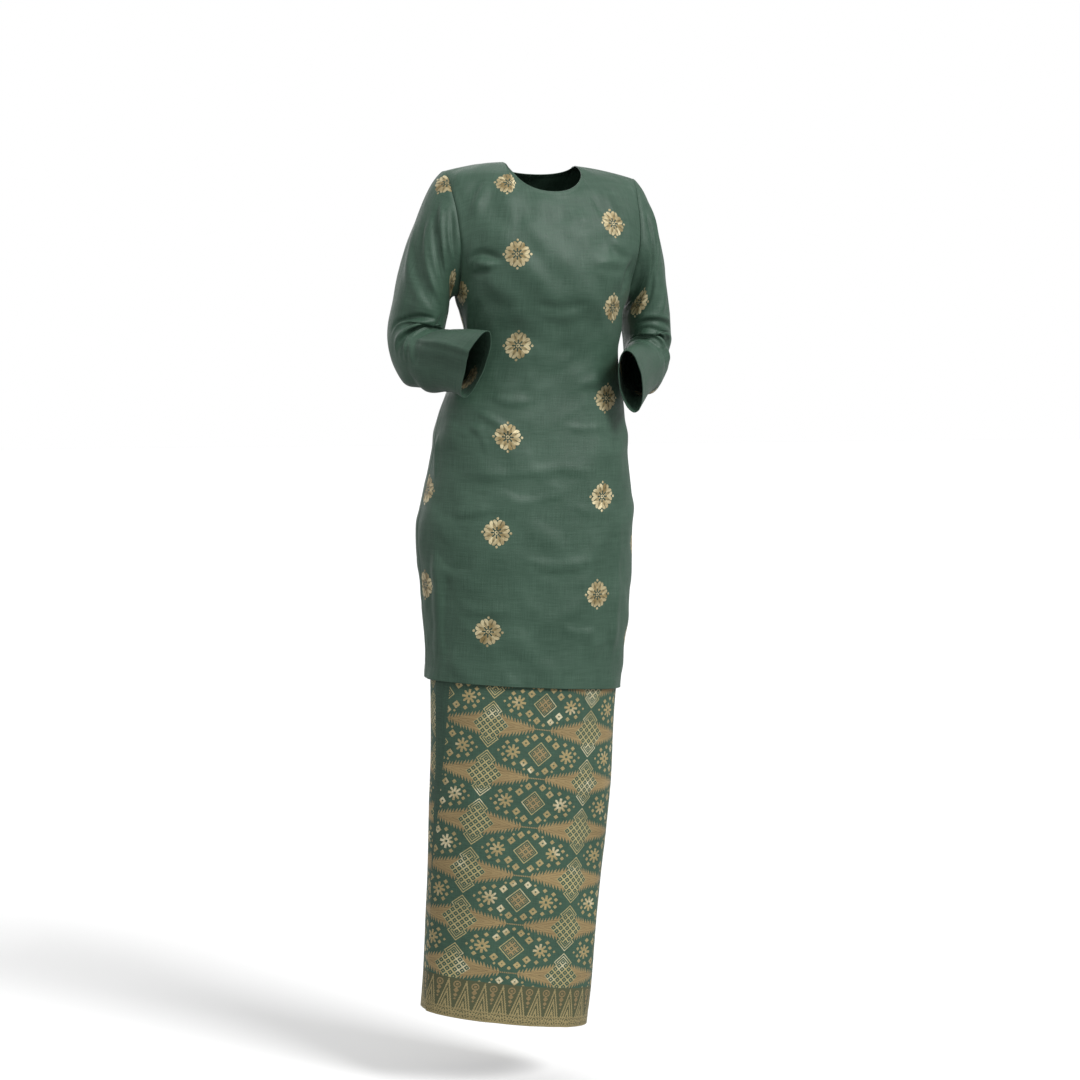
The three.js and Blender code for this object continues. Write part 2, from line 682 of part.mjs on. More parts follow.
const tunicFront = bodyPanel(-1, 0);
const tunicBack = bodyPanel(1, BACK_SLIT_ROWS);
const rightSleeve = sleeveSurface(sleeveRight, sleeveSections.right, sleeveFolds.right);
const leftSleeve = sleeveSurface(sleeveLeft, sleeveSections.left, sleeveFolds.left);
sewTogether([tunicFront, tunicBack, rightSleeve, leftSleeve], SEAM_GAP);
addPiece('tunic_front', clothWall(tunicFront, TUNIC_WALL), tunicGreen);
addPiece('tunic_back', clothWall(tunicBack, TUNIC_WALL), tunicGreen);
addPiece('sleeve_right', clothWall(rightSleeve, TUNIC_WALL), tunicGreen);
addPiece('sleeve_left', clothWall(leftSleeve, TUNIC_WALL), tunicGreen);

addPiece('neck_button', buttonGeometry(), tunicGreen);
addPiece('neck_loop', loopGeometry(), tunicGreen);

const skirtWrap = skirtWrapSurface();
const waistband = waistbandSurface();
sewTogether([skirtWrap], SEAM_GAP);
sewTogether([waistband], SEAM_GAP);
addPiece('skirt_wrap', clothWall(skirtWrap, SKIRT_WALL), songket);
addPiece('skirt_waistband', clothWall(waistband, SKIRT_WALL), tunicGreen);

export default garment;
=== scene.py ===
import math

import bpy
import numpy as np
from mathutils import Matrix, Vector


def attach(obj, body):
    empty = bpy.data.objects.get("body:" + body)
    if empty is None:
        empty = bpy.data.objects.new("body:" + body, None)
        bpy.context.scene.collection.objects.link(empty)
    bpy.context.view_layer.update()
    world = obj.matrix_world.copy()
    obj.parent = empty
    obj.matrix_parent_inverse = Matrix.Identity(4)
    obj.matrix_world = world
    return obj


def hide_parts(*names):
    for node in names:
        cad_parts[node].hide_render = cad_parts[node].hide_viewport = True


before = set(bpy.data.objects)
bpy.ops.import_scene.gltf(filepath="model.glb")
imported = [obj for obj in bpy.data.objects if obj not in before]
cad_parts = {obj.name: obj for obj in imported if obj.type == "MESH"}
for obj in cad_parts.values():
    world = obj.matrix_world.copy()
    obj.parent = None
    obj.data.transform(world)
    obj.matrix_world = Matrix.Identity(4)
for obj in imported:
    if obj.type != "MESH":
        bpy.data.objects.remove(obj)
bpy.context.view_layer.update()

# Tunic front and back
# Two panels cut from one length of a fine green satin with a slub in it and gold rosettes woven in.
# They are sewn together at the shoulders and the sides, and the hem and the neckline are turned in.
PANEL_COLUMNS = 22
SHOULDER_COLUMNS = 6
SHOULDER_END = 162.0
NECK_HALF = 63.0
NECK_DROPS = {-1: 51.0, 1: 15.0}
ARMHOLE_DROP = 224.0
HEM_DROP = 867.0
HEM_SLOPE = -0.07
SHOULDER_LEVEL = 6.0
SQUARENESS = 2.2
NECK_SQUARENESS = 2.3
SHOULDER_OVER = 20.0

# The shoulder line: x, rise, y
shoulder_line = [
    (-200, -31, 6), (-162, -18, 6), (-110, -7, 7), (-63, -2, 8), (0, -3, 8),
    (63, -6, 8), (110, -13, 7), (162, -25, 6), (200, -38, 6),
]
# The body of the tunic: drop, middle across and deep, half width, depth of the front and of the back
body_sections = [
    (0, 0, 6, 176, 0, 0), (3, 0, 6, 178, 16, 20), (9, 0, 6, 181, 31, 38),
    (20, 1, 6, 185, 48, 58), (38, 1, 6, 186, 65, 76), (60, 2, 5, 186, 80, 88),
    (85, 3, 5, 185, 93, 96), (112, 3, 4, 182, 104, 101), (140, 3, 3, 174, 112, 101),
    (168, 2, 2, 162, 117, 100), (196, 2, 1, 152, 118, 97), (224, 1, 0, 145, 115, 93),
    (250, 2, -1, 138, 108, 89), (280, 3, -2, 132, 99, 86), (312, 2, -3, 129, 93, 85),
    (350, -3, -3, 134, 90, 89), (390, -10, -2, 151, 92, 97), (430, -15, -1, 160, 97, 106),
    (494, -17, 0, 168, 104, 115), (560, -21, 1, 179, 108, 119), (618, -26, 1, 184, 109, 119),
    (690, -25, 1, 180, 107, 115), (750, -25, 1, 176, 105, 111), (820, -27, 1, 169, 99, 107),
    (876, -30, 1, 167, 96, 105),
]
# How far out the armhole edge stands: drop, x
armhole_edge = [(0, 162), (20, 161), (60, 158), (112, 155), (168, 150), (196, 147.5), (224, 145)]


def smooth(t):
    k = np.clip(t, 0, 1)
    return k * k * (3 - 2 * k)


def mix(a, b, t):
    return a + (b - a) * t


def row_at(table, value):
    """The columns of a table after its first, read on a smooth curve through its rows."""
    rows = np.asarray(table, float)
    keys, rows = rows[:, 0], rows[:, 1:]
    last = len(keys) - 1
    v = np.clip(value, keys[0], keys[-1])
    i = np.clip(np.searchsorted(keys, v, side="left") - 1, 0, last - 1)
    before, after = np.maximum(i - 1, 0), np.minimum(i + 2, last)
    span = keys[i + 1] - keys[i]
    t = ((v - keys[i]) / span)[..., None]
    leave = (rows[i + 1] - rows[before]) * (span / (keys[i + 1] - keys[before]))[..., None]
    arrive = (rows[after] - rows[i]) * (span / (keys[after] - keys[i]))[..., None]
    return hermite(rows[i], leave, rows[i + 1], arrive, t)


def hermite(start, leave, end, arrive, t):
    """A smooth curve between two points, from the directions in which it leaves and arrives."""
    return (
        (1 + 2 * t) * (1 - t) ** 2 * start
        + t * (1 - t) ** 2 * leave
        + t * t * (3 - 2 * t) * end
        + t * t * (t - 1) * arrive
    )


def panel_point(column, row_drop, side):
    """A point of the front (side -1) or the back (side 1), in millimetres."""
    column, row_drop = np.broadcast_arrays(np.asarray(column, float), np.asarray(row_drop, float))
    across = column - PANEL_COLUMNS / 2
    neck_columns = PANEL_COLUMNS / 2 - SHOULDER_COLUMNS
    on_shoulder = mix(NECK_HALF, SHOULDER_END, (np.abs(across) - neck_columns) / SHOULDER_COLUMNS)
    on_neck = NECK_HALF * np.sin(math.pi / 2 * np.minimum(1, np.abs(across) / neck_columns))
    top = np.sign(across) * np.where(np.abs(across) > neck_columns, on_shoulder, on_neck)
    neck = NECK_DROPS[side] * np.sqrt(1 - np.minimum(1, np.abs(top) / NECK_HALF) ** NECK_SQUARENESS)
    through = np.minimum(1, row_drop / ARMHOLE_DROP)
    drop = np.where(row_drop < ARMHOLE_DROP, mix(neck, ARMHOLE_DROP, through), row_drop)
    middle_x, middle_y, half, front, back = np.moveaxis(row_at(body_sections, drop), -1, 0)
    edge = np.where(drop < ARMHOLE_DROP, row_at(armhole_edge, drop)[..., 0], half)
    angle = across / PANEL_COLUMNS * math.pi
    even = np.sign(angle) * np.abs(np.sin(angle)) ** (2 / SQUARENESS)
    top_x = top + (edge - SHOULDER_END) * (top / SHOULDER_END) ** 3
    offset = mix(top_x, edge * even, smooth(through))
    reach = np.minimum(1, np.abs(offset) / half)
    x = middle_x + offset
    rise, shoulder_y = np.moveaxis(row_at(shoulder_line, x), -1, 0)
    middle = mix(shoulder_y, middle_y, smooth(drop / SHOULDER_OVER))
    out = (front if side < 0 else back) * (1 - reach**SQUARENESS) ** (1 / SQUARENESS)
    slope = rise * (1 - smooth(drop / ARMHOLE_DROP)) + HEM_SLOPE * (x - middle_x) * smooth(
        (drop - ARMHOLE_DROP) / (HEM_DROP - ARMHOLE_DROP)
    )
    return np.stack([x, middle + side * out, SHOULDER_LEVEL - drop + slope], -1)


EDGE_STEP = 0.2
LINE_POINTS = 4000
NO_LENGTH = 1e-9


def run_along(points, axis):
    """How far each point lies along its own row or column, measured on the cloth."""
    steps = np.linalg.norm(np.diff(points, axis=axis), axis=-1)
    start = np.zeros_like(np.take(steps, [0], axis=axis))
    return np.concatenate([start, np.cumsum(steps, axis=axis)], axis=axis)


def even_steps(line, start, end, count):
    """Values from start to end that lie evenly along a line, with one more close to each end."""
    fine = np.linspace(start, end, LINE_POINTS)
    run = run_along(line(fine), 0)
    return edged(np.interp(np.linspace(0, run[-1], count), run, fine))


def edged(values):
    first = mix(values[0], values[1], EDGE_STEP)
    last = mix(values[-1], values[-2], EDGE_STEP)
    return np.concatenate([values[:1], [first], values[1:-1], [last], values[-1:]])


def outward(points, turn, closed=False):
    """Unit normals of a grid of points, out of the garment."""
    down = np.gradient(points, axis=0)
    if closed:
        across = (np.roll(points, -1, axis=1) - np.roll(points, 1, axis=1)) / 2
    else:
        across = np.gradient(points, axis=1)
    normal = np.cross(down, across) * turn
    return normal / np.maximum(np.linalg.norm(normal, axis=-1, keepdims=True), NO_LENGTH)


CREASE_REACH = 4
CREASE_STEPS = 10
CREASE_FADE = 0.35
CREASE_END_WIDTH = 0.55
HOLLOW_DEEP = 0.6
HOLLOW_AWAY = 1.5


def hump(distance, width):
    return np.exp(-((distance / width) ** 2))


def crease(u, v, line, width, height):
    """One crease of the cloth: a soft ridge (or a trough, where height is below 0) along a line of
    (u, v) points, with a shallower hollow on its right side, fading out at both ends."""
    knots = np.asarray(line, float)
    steps = np.linspace(0, len(knots) - 1, CREASE_STEPS * (len(knots) - 1) + 1)
    path = row_at(np.column_stack([np.arange(len(knots)), knots]), steps)
    reach = CREASE_REACH * width
    near = (
        (u > path[:, 0].min() - reach) & (u < path[:, 0].max() + reach)
        & (v > path[:, 1].min() - reach) & (v < path[:, 1].max() + reach)
    )
    height_here = np.zeros_like(u)
    if not near.any():
        return height_here
    p = np.stack([u[near], v[near]], -1)
    nearest, signed, along = np.full(len(p), np.inf), np.zeros(len(p)), np.zeros(len(p))
    length = run_along(path, 0)
    for k in range(len(path) - 1):
        a, d = path[k], path[k + 1] - path[k]
        size = np.hypot(*d)
        t = np.clip(((p - a) @ d) / size**2, 0, 1)
        off = p - a - t[:, None] * d
        distance = np.hypot(off[:, 0], off[:, 1])
        closer = distance < nearest
        nearest = np.where(closer, distance, nearest)
        side = np.sign(d[0] * off[:, 1] - d[1] * off[:, 0])
        signed = np.where(closer, side * distance, signed)
        along = np.where(closer, (length[k] + t * size) / length[-1], along)
    ends = smooth(along / CREASE_FADE) * smooth((1 - along) / CREASE_FADE)
    w = width * mix(CREASE_END_WIDTH, 1, ends)
    shape = hump(signed, w) - HOLLOW_DEEP * hump(signed - HOLLOW_AWAY * w, w)
    height_here[near] = height * ends * shape
    return height_here


RIPPLE_WAVES = 18
RIPPLE_LENGTHS = (0.6, 1.9)
RIPPLE_TURN = 0.35


def ripple(u, v, seed, size, stretch, height, lean=0.0):
    """Faint unevenness of cloth that has been worn: a sum of waves, which lean to both sides."""
    draw = np.random.default_rng(seed)
    total = np.zeros_like(u)
    for _ in range(RIPPLE_WAVES):
        length = size * draw.uniform(*RIPPLE_LENGTHS)
        turn = draw.normal(lean * draw.choice([-1, 1]), RIPPLE_TURN)
        phase = draw.uniform(0, 2 * math.pi)
        wave = (u * math.cos(turn) + v * math.sin(turn) / stretch) / length
        total += np.sin(2 * math.pi * wave + phase)
    return height * total / math.sqrt(RIPPLE_WAVES)


def worn(u, v, creases, ripples, seed):
    """How far the creases and the unevenness lift the cloth off its form."""
    rise = sum(crease(u, v, *one) for one in creases)
    for extra, one in enumerate(ripples):
        rise = rise + ripple(u, v, seed + extra, *one)
    return rise


SEAM_DEEP, SEAM_WIDE, SEAM_CLEAR = 0.9, 1.6, 3
ALLOWANCE_HIGH, ALLOWANCE_AWAY, ALLOWANCE_WIDE = 0.3, 5.5, 3


def seam_dip(distance):
    """The groove of a seam and the soft swelling of its pressed allowance beside it."""
    swelling = ALLOWANCE_HIGH * hump(distance - ALLOWANCE_AWAY, ALLOWANCE_WIDE)
    return swelling - SEAM_DEEP * hump(distance, SEAM_WIDE)


def gathers(along, distance, high, quick, slow, reach, start=0.0):
    """The small uneven gathers that a row of stitches makes beside it."""
    return high * np.sin(along * quick + 2 * np.sin(along * slow + start)) * np.exp(-distance / reach)


def turned_in(distance, width):
    """1 on a strip turned in along an edge, and 0 beyond it."""
    return smooth((width + 1 - distance) / 2)


def grid_quads(rows, columns, closed=False, flip=False):
    """The faces of a grid of points, each as the numbers of its four points."""
    steps = np.arange(rows - 1), np.arange(columns if closed else columns - 1)
    r, c = np.meshgrid(*steps, indexing="ij")
    here, right = r * columns + c, r * columns + (c + 1) % columns
    quads = np.stack([here, here + columns, right + columns, right], -1).reshape(-1, 4)
    return quads[:, ::-1] if flip else quads


def nearest_motif(corner_uv, motifs):
    """For each corner of each quad, its place measured from the motif that is nearest to the quad.
    A motif's third value says how far the cloth is drawn out lengthwise there."""
    centres = np.array([(*motif, 1.0)[:3] for motif in motifs])
    middle = corner_uv.mean(axis=1)
    away = np.hypot(middle[:, None, 0] - centres[None, :, 0], middle[:, None, 1] - centres[None, :, 1])
    nearest = centres[np.argmin(away, axis=1)][:, None]
    drawn_out = nearest[..., 2:] ** np.array([0, 1])
    return (corner_uv - nearest[..., :2]) * drawn_out


MILLIMETRE = 0.001
NO_MOTIF = [(9999, 9999)]


def new_piece(name, points, faces, maps):
    """An object made of points and faces in millimetres, with the corners' places on each map."""
    mesh = bpy.data.meshes.new(name)
    mesh.from_pydata((points * MILLIMETRE).tolist(), [], faces)
    for layer_name, places in maps.items():
        layer = mesh.uv_layers.new(name=layer_name)
        layer.data.foreach_set("uv", (places * MILLIMETRE).astype(np.float32).ravel())
    mesh.polygons.foreach_set("use_smooth", np.ones(len(mesh.polygons), bool))
    mesh.update()
    piece = bpy.data.objects.new(name, mesh)
    bpy.context.scene.collection.objects.link(piece)
    return piece


def cloth_shell(name, points, normals, quads, corner_uv, thickness, free, motifs=NO_MOTIF):
    """A thin closed shell of cloth: the outer face, the inner face and the rounded cut edges.
    Free edges are round, and sewn ones are flat, so that two pieces meet on their seam."""
    points, normals = points.reshape(-1, 3), normals.reshape(-1, 3)
    thickness, free = thickness.ravel(), free.ravel()
    count = len(points)
    inner = points - normals * thickness[:, None]
    a = quads.ravel()
    b = np.roll(quads, -1, axis=1).ravel()
    cut = ~np.isin(a.astype(np.int64) * count + b, b.astype(np.int64) * count + a)
    a, b = a[cut], b[cut]
    away = np.zeros_like(points)
    side = np.cross(points[b] - points[a], normals[a])
    np.add.at(away, a, side)
    np.add.at(away, b, side)
    away /= np.maximum(np.linalg.norm(away, axis=-1, keepdims=True), NO_LENGTH)
    edge = np.unique(np.concatenate([a, b]))
    rim_of = np.full(count, -1)
    rim_of[edge] = 2 * count + np.arange(len(edge))
    bulge = np.where(free, thickness / 2, 0)[edge, None]
    rim = (points[edge] + inner[edge]) / 2 + away[edge] * bulge
    upper = np.stack([b, a, rim_of[a], rim_of[b]], -1)
    lower = np.stack([rim_of[b], rim_of[a], a + count, b + count], -1)
    faces = np.concatenate([quads, quads[:, ::-1] + count, upper, lower])
    vertex_uv = np.zeros((count, 2))
    vertex_uv[quads.ravel()] = corner_uv.reshape(-1, 2)
    edge_uv = vertex_uv[np.stack([b, a, a, b], -1)]
    uv = np.concatenate([corner_uv, corner_uv[:, ::-1], edge_uv, edge_uv])
    maps = {"cloth": uv, "motif": nearest_motif(uv, motifs)}
    return new_piece(name, np.concatenate([points, inner, rim]), faces.tolist(), maps)


class Wire:
    """A socket of one material. Arithmetic on wires and numbers adds Math nodes."""

    def __init__(self, tree, socket=None):
        self.tree = tree
        self.socket = socket

    def node(self, kind, settings, sockets, output=0):
        made = self.tree.nodes.new(kind)
        for name, value in settings.items():
            setattr(made, name, value)
        for name, value in sockets.items():
            if isinstance(value, Wire):
                self.tree.links.new(value.socket, made.inputs[name])
            else:
                made.inputs[name].default_value = value
        return Wire(self.tree, made.outputs[output]) if len(made.outputs) else None

    def math(self, operation, *values, clamp=False):
        sockets = dict(enumerate(values))
        return self.node("ShaderNodeMath", {"operation": operation, "use_clamp": clamp}, sockets)

    def __add__(self, other):
        return self.math("ADD", self, other)

    __radd__ = __add__

    def __sub__(self, other):
        return self.math("SUBTRACT", self, other)

    def __rsub__(self, other):
        return self.math("SUBTRACT", other, self)

    def __mul__(self, other):
        return self.math("MULTIPLY", self, other)

    __rmul__ = __mul__

    def __truediv__(self, other):
        return self.math("DIVIDE", self, other)

    def __mod__(self, other):
        return self.math("FLOORED_MODULO", self, other)

    def __lt__(self, other):
        return self.math("LESS_THAN", self, other)

    def __gt__(self, other):
        return self.math("GREATER_THAN", self, other)

    def __abs__(self):
        return self.math("ABSOLUTE", self)

    def either(self, other):
        return self.math("MAXIMUM", self, other)

    def both(self, other):
        return self.math("MINIMUM", self, other)

    def between(self, low, high):
        return (self < high).both(self > low)

    def floor(self):
        return self.math("FLOOR", self)

    def folded(self, step):
        """How far this is from the nearest whole multiple of a step."""
        return abs((self + step / 2) % step - step / 2)

    def wave(self, length):
        """A wave between 0 and 1 with this length, in metres."""
        return self.math("SINE", self * (2 * math.pi / length)) * 0.5 + 0.5

    def place(self, layer):
        """The two coordinates of one of the cloth's maps, in metres."""
        uv = self.node("ShaderNodeUVMap", {"uv_map": layer}, {})
        return [self.node("ShaderNodeSeparateXYZ", {}, {0: uv}, output) for output in (0, 1)]

    def noise(self, scale, across, down, detail=2.0):
        """Noise over the cloth with its own scale across and down."""
        place = self.node("ShaderNodeCombineXYZ", {}, {0: across * scale[0], 1: down * scale[1], 2: 0.0})
        sockets = {"Vector": place, "Scale": 1.0, "Detail": detail}
        return self.node("ShaderNodeTexNoise", {"noise_dimensions": "2D"}, sockets)

    def speck(self, across, down):
        """One random number for each whole pair of numbers."""
        place = self.node("ShaderNodeCombineXYZ", {}, {0: across, 1: down, 2: 0.0})
        return self.node("ShaderNodeTexWhiteNoise", {"noise_dimensions": "2D"}, {"Vector": place})

    def tint(self, share, first, second):
        """A colour between two, each a wire or three numbers."""
        first, second = (c if isinstance(c, Wire) else (*c, 1.0) for c in (first, second))
        return self.node("ShaderNodeMix", {"data_type": "RGBA"}, {0: share, 6: first, 7: second}, 2)

    def lit(self, colour, strength):
        """A colour made lighter or darker by a wire."""
        sockets = {0: colour, "Scale": strength}
        return self.node("ShaderNodeVectorMath", {"operation": "SCALE"}, sockets)


def any_of(masks):
    first, *others = masks
    for mask in others:
        first = first.either(mask)
    return first


CLOTH_GLOSS = 0.38


def new_cloth(name):
    """A material with its cloth coordinates, in metres across and down."""
    material = bpy.data.materials.new(name)
    material.use_nodes = True
    material.node_tree.nodes.clear()
    start = Wire(material.node_tree)
    return material, start, *start.place("cloth")


def finish_cloth(start, colour, roughness, metallic, height, bump, sheen):
    """Ends a cloth material: the colour and shine that vary, the bump of its threads and its sheen."""
    normal = start.node(
        "ShaderNodeBump", {}, {"Strength": bump[0], "Distance": bump[1], "Height": height}
    )
    shader = start.node(
        "ShaderNodeBsdfPrincipled",
        {},
        {
            "Base Color": colour,
            "Roughness": roughness,
            "Metallic": metallic,
            "Normal": normal,
            "Sheen Weight": sheen[0],
            "Sheen Roughness": sheen[1],
            "Specular IOR Level": CLOTH_GLOSS,
        },
    )
    start.node("ShaderNodeOutputMaterial", {}, {"Surface": shader})


TUNIC_DARK = (0.0305, 0.0715, 0.0455)
TUNIC_LIGHT = (0.0615, 0.121, 0.083)
# Rosette gold: pale where a painted highlight lies on the thread, tan where the thread is dull
GOLD_PAINTED_SHINE = (0.74, 0.64, 0.39)
GOLD_TAN = (0.24, 0.175, 0.068)
SILK_SHEEN = (0.05, 0.45)
PLAIN_BUMP, ROSETTE_BUMP = (0.3, 0.0005), (0.4, 0.0006)
# How often the threads and the tone change in a metre, across and down
SLUB_SCALE, WARP_SCALE, BAR_SCALE, CLOUD_SCALE = (34, 900), (1100, 26), (5, 130), (12, 9)
THREAD_ACROSS, THREAD_DOWN = 0.0008, 0.0007
# A rosette, in millimetres from its centre
PETALS = 8
PETAL_TIP_AT, PETAL_TIP_LONG = 15.4, 6.3
PETAL_LOBE_AT, PETAL_LOBE_WIDE = 2.5, 4.1
PETAL_POINT_AT, PETAL_SPREAD = 3.0, 0.39
PETAL_FROM, PETAL_TO = 4.6, 15
VEIN_HALF, VEIN_FROM = 0.45, 12.0
CORE_AT, CORE_LONG, CORE_WIDE = 11.5, 5.5, 2.5
BEAD_AT, BEAD_SQUARE = 23.4, 4.4
HEART_INSIDE, HEART_OUTSIDE = 1.3, 3.2
SHADE_RADIUS, SHADE = 20.5, 0.45
FLOAT_LONG = 1.3


def tunic_cloth(name, with_rosettes=True):
    """The green slub satin, with its gold rosettes where the piece's motif map places them."""
    material, start, across, down = new_cloth(name)
    slub = start.noise(SLUB_SCALE, across, down, 3.0)
    warp = start.noise(WARP_SCALE, across, down, 3.0)
    bars = start.noise(BAR_SCALE, across, down, 2.0)
    cloud = start.noise(CLOUD_SCALE, across, down, 3.0)
    tone = (slub - 0.5) * 1.0 + (warp - 0.5) * 1.2 + (bars - 0.5) * 0.45 + (cloud - 0.5) * 0.8 + 0.5
    green = start.tint(tone, TUNIC_DARK, TUNIC_LIGHT)
    threads = across.wave(THREAD_ACROSS) * down.wave(THREAD_DOWN)
    height = threads * 0.35 + slub * 0.8 + warp * 0.6
    rough = 0.44 + (slub - 0.5) * 0.25
    if not with_rosettes:
        finish_cloth(start, green, rough, 0.0, height, PLAIN_BUMP, SILK_SHEEN)
        return material
    # Each rosette is eight woven petals round a dark eye, with a bead above, below and to each side.
    along, up = start.place("motif")
    x, y = along * 1000, up * 1000
    radius = start.math("SQRT", x * x + y * y)
    turn = start.math("ARCTAN2", y, x)
    step = 2 * math.pi / PETALS
    fold = turn % step - step / 2
    out, side = radius * start.math("COSINE", fold), abs(radius * start.math("SINE", fold))
    tip = (out - PETAL_TIP_AT) / PETAL_TIP_LONG
    lobe = (side - PETAL_LOBE_AT) / PETAL_LOBE_WIDE
    wedge = (side < (out - PETAL_POINT_AT) * PETAL_SPREAD).both(out.between(PETAL_FROM, PETAL_TO))
    petal = (tip * tip + lobe * lobe < 1).either(wedge)
    vein = (side < VEIN_HALF).both(out > VEIN_FROM)
    core_tip, core_lobe = (out - CORE_AT) / CORE_LONG, side / CORE_WIDE
    core = core_tip * core_tip + core_lobe * core_lobe < 1
    quarter = (turn + step) % (2 * step) - step
    bead_out = radius * start.math("COSINE", quarter) - BEAD_AT
    bead_side = radius * start.math("SINE", quarter)
    bead = bead_out * bead_out + bead_side * bead_side < BEAD_SQUARE
    gold = any_of([petal * (1 - vein), bead, radius.between(HEART_INSIDE, HEART_OUTSIDE)])
    # Painted highlights: some petals are painted pale, as if their metal thread caught the light, and
    # others are left dull tan.
    sector = (turn / step).floor()
    painted_petal_shine = start.speck(sector + (across * 9).floor() * 3, (down * 8).floor())
    floats = (y + side * 0.5).wave(FLOAT_LONG)
    painted_glow = (start.noise((55, 55), across, down) - 0.42) * 2.6
    painted_shine_and_core = (painted_petal_shine * 0.75 + painted_glow * 0.6 + 0.05) * (1 - core * 0.7)
    thread_gold = start.tint(painted_shine_and_core, GOLD_TAN, GOLD_PAINTED_SHINE)
    thread_gold = start.lit(thread_gold, 0.74 + floats * 0.42)
    shaded_green = start.lit(green, 1 - (radius < SHADE_RADIUS) * SHADE)
    colour = start.tint(gold, shaded_green, thread_gold)
    rough = rough * (1 - gold) + gold * (0.38 + floats * 0.1)
    height = height * (1 - gold * 0.7) + gold * (1.1 + floats * 0.8)
    finish_cloth(start, colour, rough, gold * 0.3, height, ROSETTE_BUMP, SILK_SHEEN)
    return material


PANEL_SPLIT = 6
PANEL_ROWS = 290
STEPPED_COLUMN = 3.0
CLOTH_THICK = 0.7
TURNED_THICKER = 0.9
HEM_TURNED = 22.0
NECK_TURNED = 7.0
SLIT_DROP = 112.0
# Where the tunic lies on the skirt, its troughs are shallow.
TROUGH_ON_SKIRT = 0.7
ON_SKIRT_FROM, ON_SKIRT_OVER = 350, 60
CALM_BY_SEAM, CALM_BY_NECK = 14, 16
# Ripples: size, stretch, height and lean. Stitches: depth and width. Gathers: height, two lengths, reach
PANEL_RIPPLES = [(80, 1.0, 1.3, 1.0), (34, 1.0, 0.3, 0.8), (15, 2.0, 0.1)]
SIDE_GATHERS = (0.16, 0.62, 0.11, 7)
HEM_STITCH_DEEP, HEM_STITCH_WIDE = 0.3, 2.5
NECK_STITCH_DEEP, NECK_STITCH_WIDE = 0.3, 1.8
AT_EDGE = 0.01
FAR = 999.0

# Creases of each panel: a line of (across, down) points, width and height. Across is measured from
# the middle of the panel, down from the foot of the armhole.
front_creases = [
    ([(-160, -58), (-138, -69), (-117, -65), (-92, -54)], 8, -5.7),
    ([(-158, -40), (-135, -50), (-108, -46)], 8, 4.2),
    ([(-131, -36), (-99, -10), (-51, 7)], 16, 2.5),
    ([(-45, 14), (0, 21), (58, 12)], 10, -2.5),
    ([(153, -66), (137, -37), (128, 2)], 9, -4.6),
    ([(60, -50), (94, -57), (128, -50)], 10, 2.8),
    ([(96, -96), (118, -84), (140, -80)], 10, 2.5),
    ([(-139, 0), (-151, 40), (-160, 83)], 10, -2.8),
    ([(-108, 34), (-114, 74), (-124, 118)], 13, 2.1),
    ([(-116, 171), (-67, 180), (-17, 174)], 10, 2.5),
    ([(21, 208), (90, 201), (143, 190)], 10, -2.8),
    ([(-162, 226), (-132, 216), (-100, 209)], 10, -2.7),
    ([(40, 150), (86, 142), (132, 150)], 11, 2.5),
    ([(-153, 298), (-78, 300), (22, 286), (94, 294)], 12, 2.3),
    ([(-77, 322), (-27, 324), (28, 320)], 11, -1.9),
    ([(-166, 361), (-122, 366), (-76, 352)], 11, 2.5),
    ([(44, 346), (88, 358), (136, 350)], 12, 1.9),
    ([(-38, 435), (28, 446), (104, 436)], 11, 2.1),
    ([(-173, 445), (-145, 454), (-118, 456)], 10, -2.1),
    ([(-147, 509), (-103, 526), (-40, 518)], 12, 2.1),
    ([(30, 533), (65, 542), (108, 545)], 10, -2.1),
    ([(-128, 196), (-84, 214), (-40, 246)], 8, 2.4),
    ([(-140, 208), (-112, 236), (-96, 276)], 8, 2.2),
    ([(-60, 60), (-16, 84), (36, 92)], 16, -2.2),
    ([(-197, 234), (-202, 274), (-197, 322)], 7, 3.4),
    ([(-187, 381), (-181, 513), (-184, 636)], 12, 4.2),
    ([(-164, 444), (-156, 577), (-161, 644)], 10, -3.0),
    ([(150, 340), (141, 504), (137, 647)], 11, 3.4),
    ([(112, 403), (104, 502), (108, 620)], 12, -2.3),
    ([(-133, -205), (-143, -170), (-149, -130)], 10, 3.0),
    ([(-104, -190), (-96, -150), (-70, -110)], 15, 2.3),
    ([(8, -164), (30, -140), (66, -112)], 14, 2.3),
    ([(120, -196), (112, -160), (118, -124)], 12, 2.3),
]
back_creases = [
    ([(-150, -64), (-112, -50), (-70, -58)], 9, 3.6),
    ([(146, -58), (108, -44), (62, -52)], 9, -3.6),
    ([(-120, -120), (-96, -84), (-84, -30)], 13, 2.4),
    ([(118, -128), (98, -80), (92, -20)], 14, 2.7),
    ([(-140, 62), (-84, 88), (-20, 84)], 11, 3.6),
    ([(138, 84), (80, 108), (10, 104)], 11, -3.3),
    ([(-132, 122), (-84, 138), (-34, 130)], 10, -3.0),
    ([(130, 140), (78, 150), (30, 144)], 10, 3.3),
    ([(-60, 166), (-8, 174), (52, 168)], 12, 2.4),
    ([(-176, 230), (-168, 330), (-180, 440)], 13, 3.6),
    ([(-70, 256), (-58, 380), (-72, 520)], 20, 2.4),
    ([(72, 240), (84, 350), (70, 480)], 18, -2.7),
    ([(176, 300), (182, 430), (172, 580)], 14, 3.3),
    ([(-128, 420), (-120, 520), (-130, 640)], 14, -2.4),
    ([(20, 430), (26, 520), (14, 640)], 18, 2.4),
    ([(118, 420), (126, 520), (116, 650)], 16, 2.1),
]
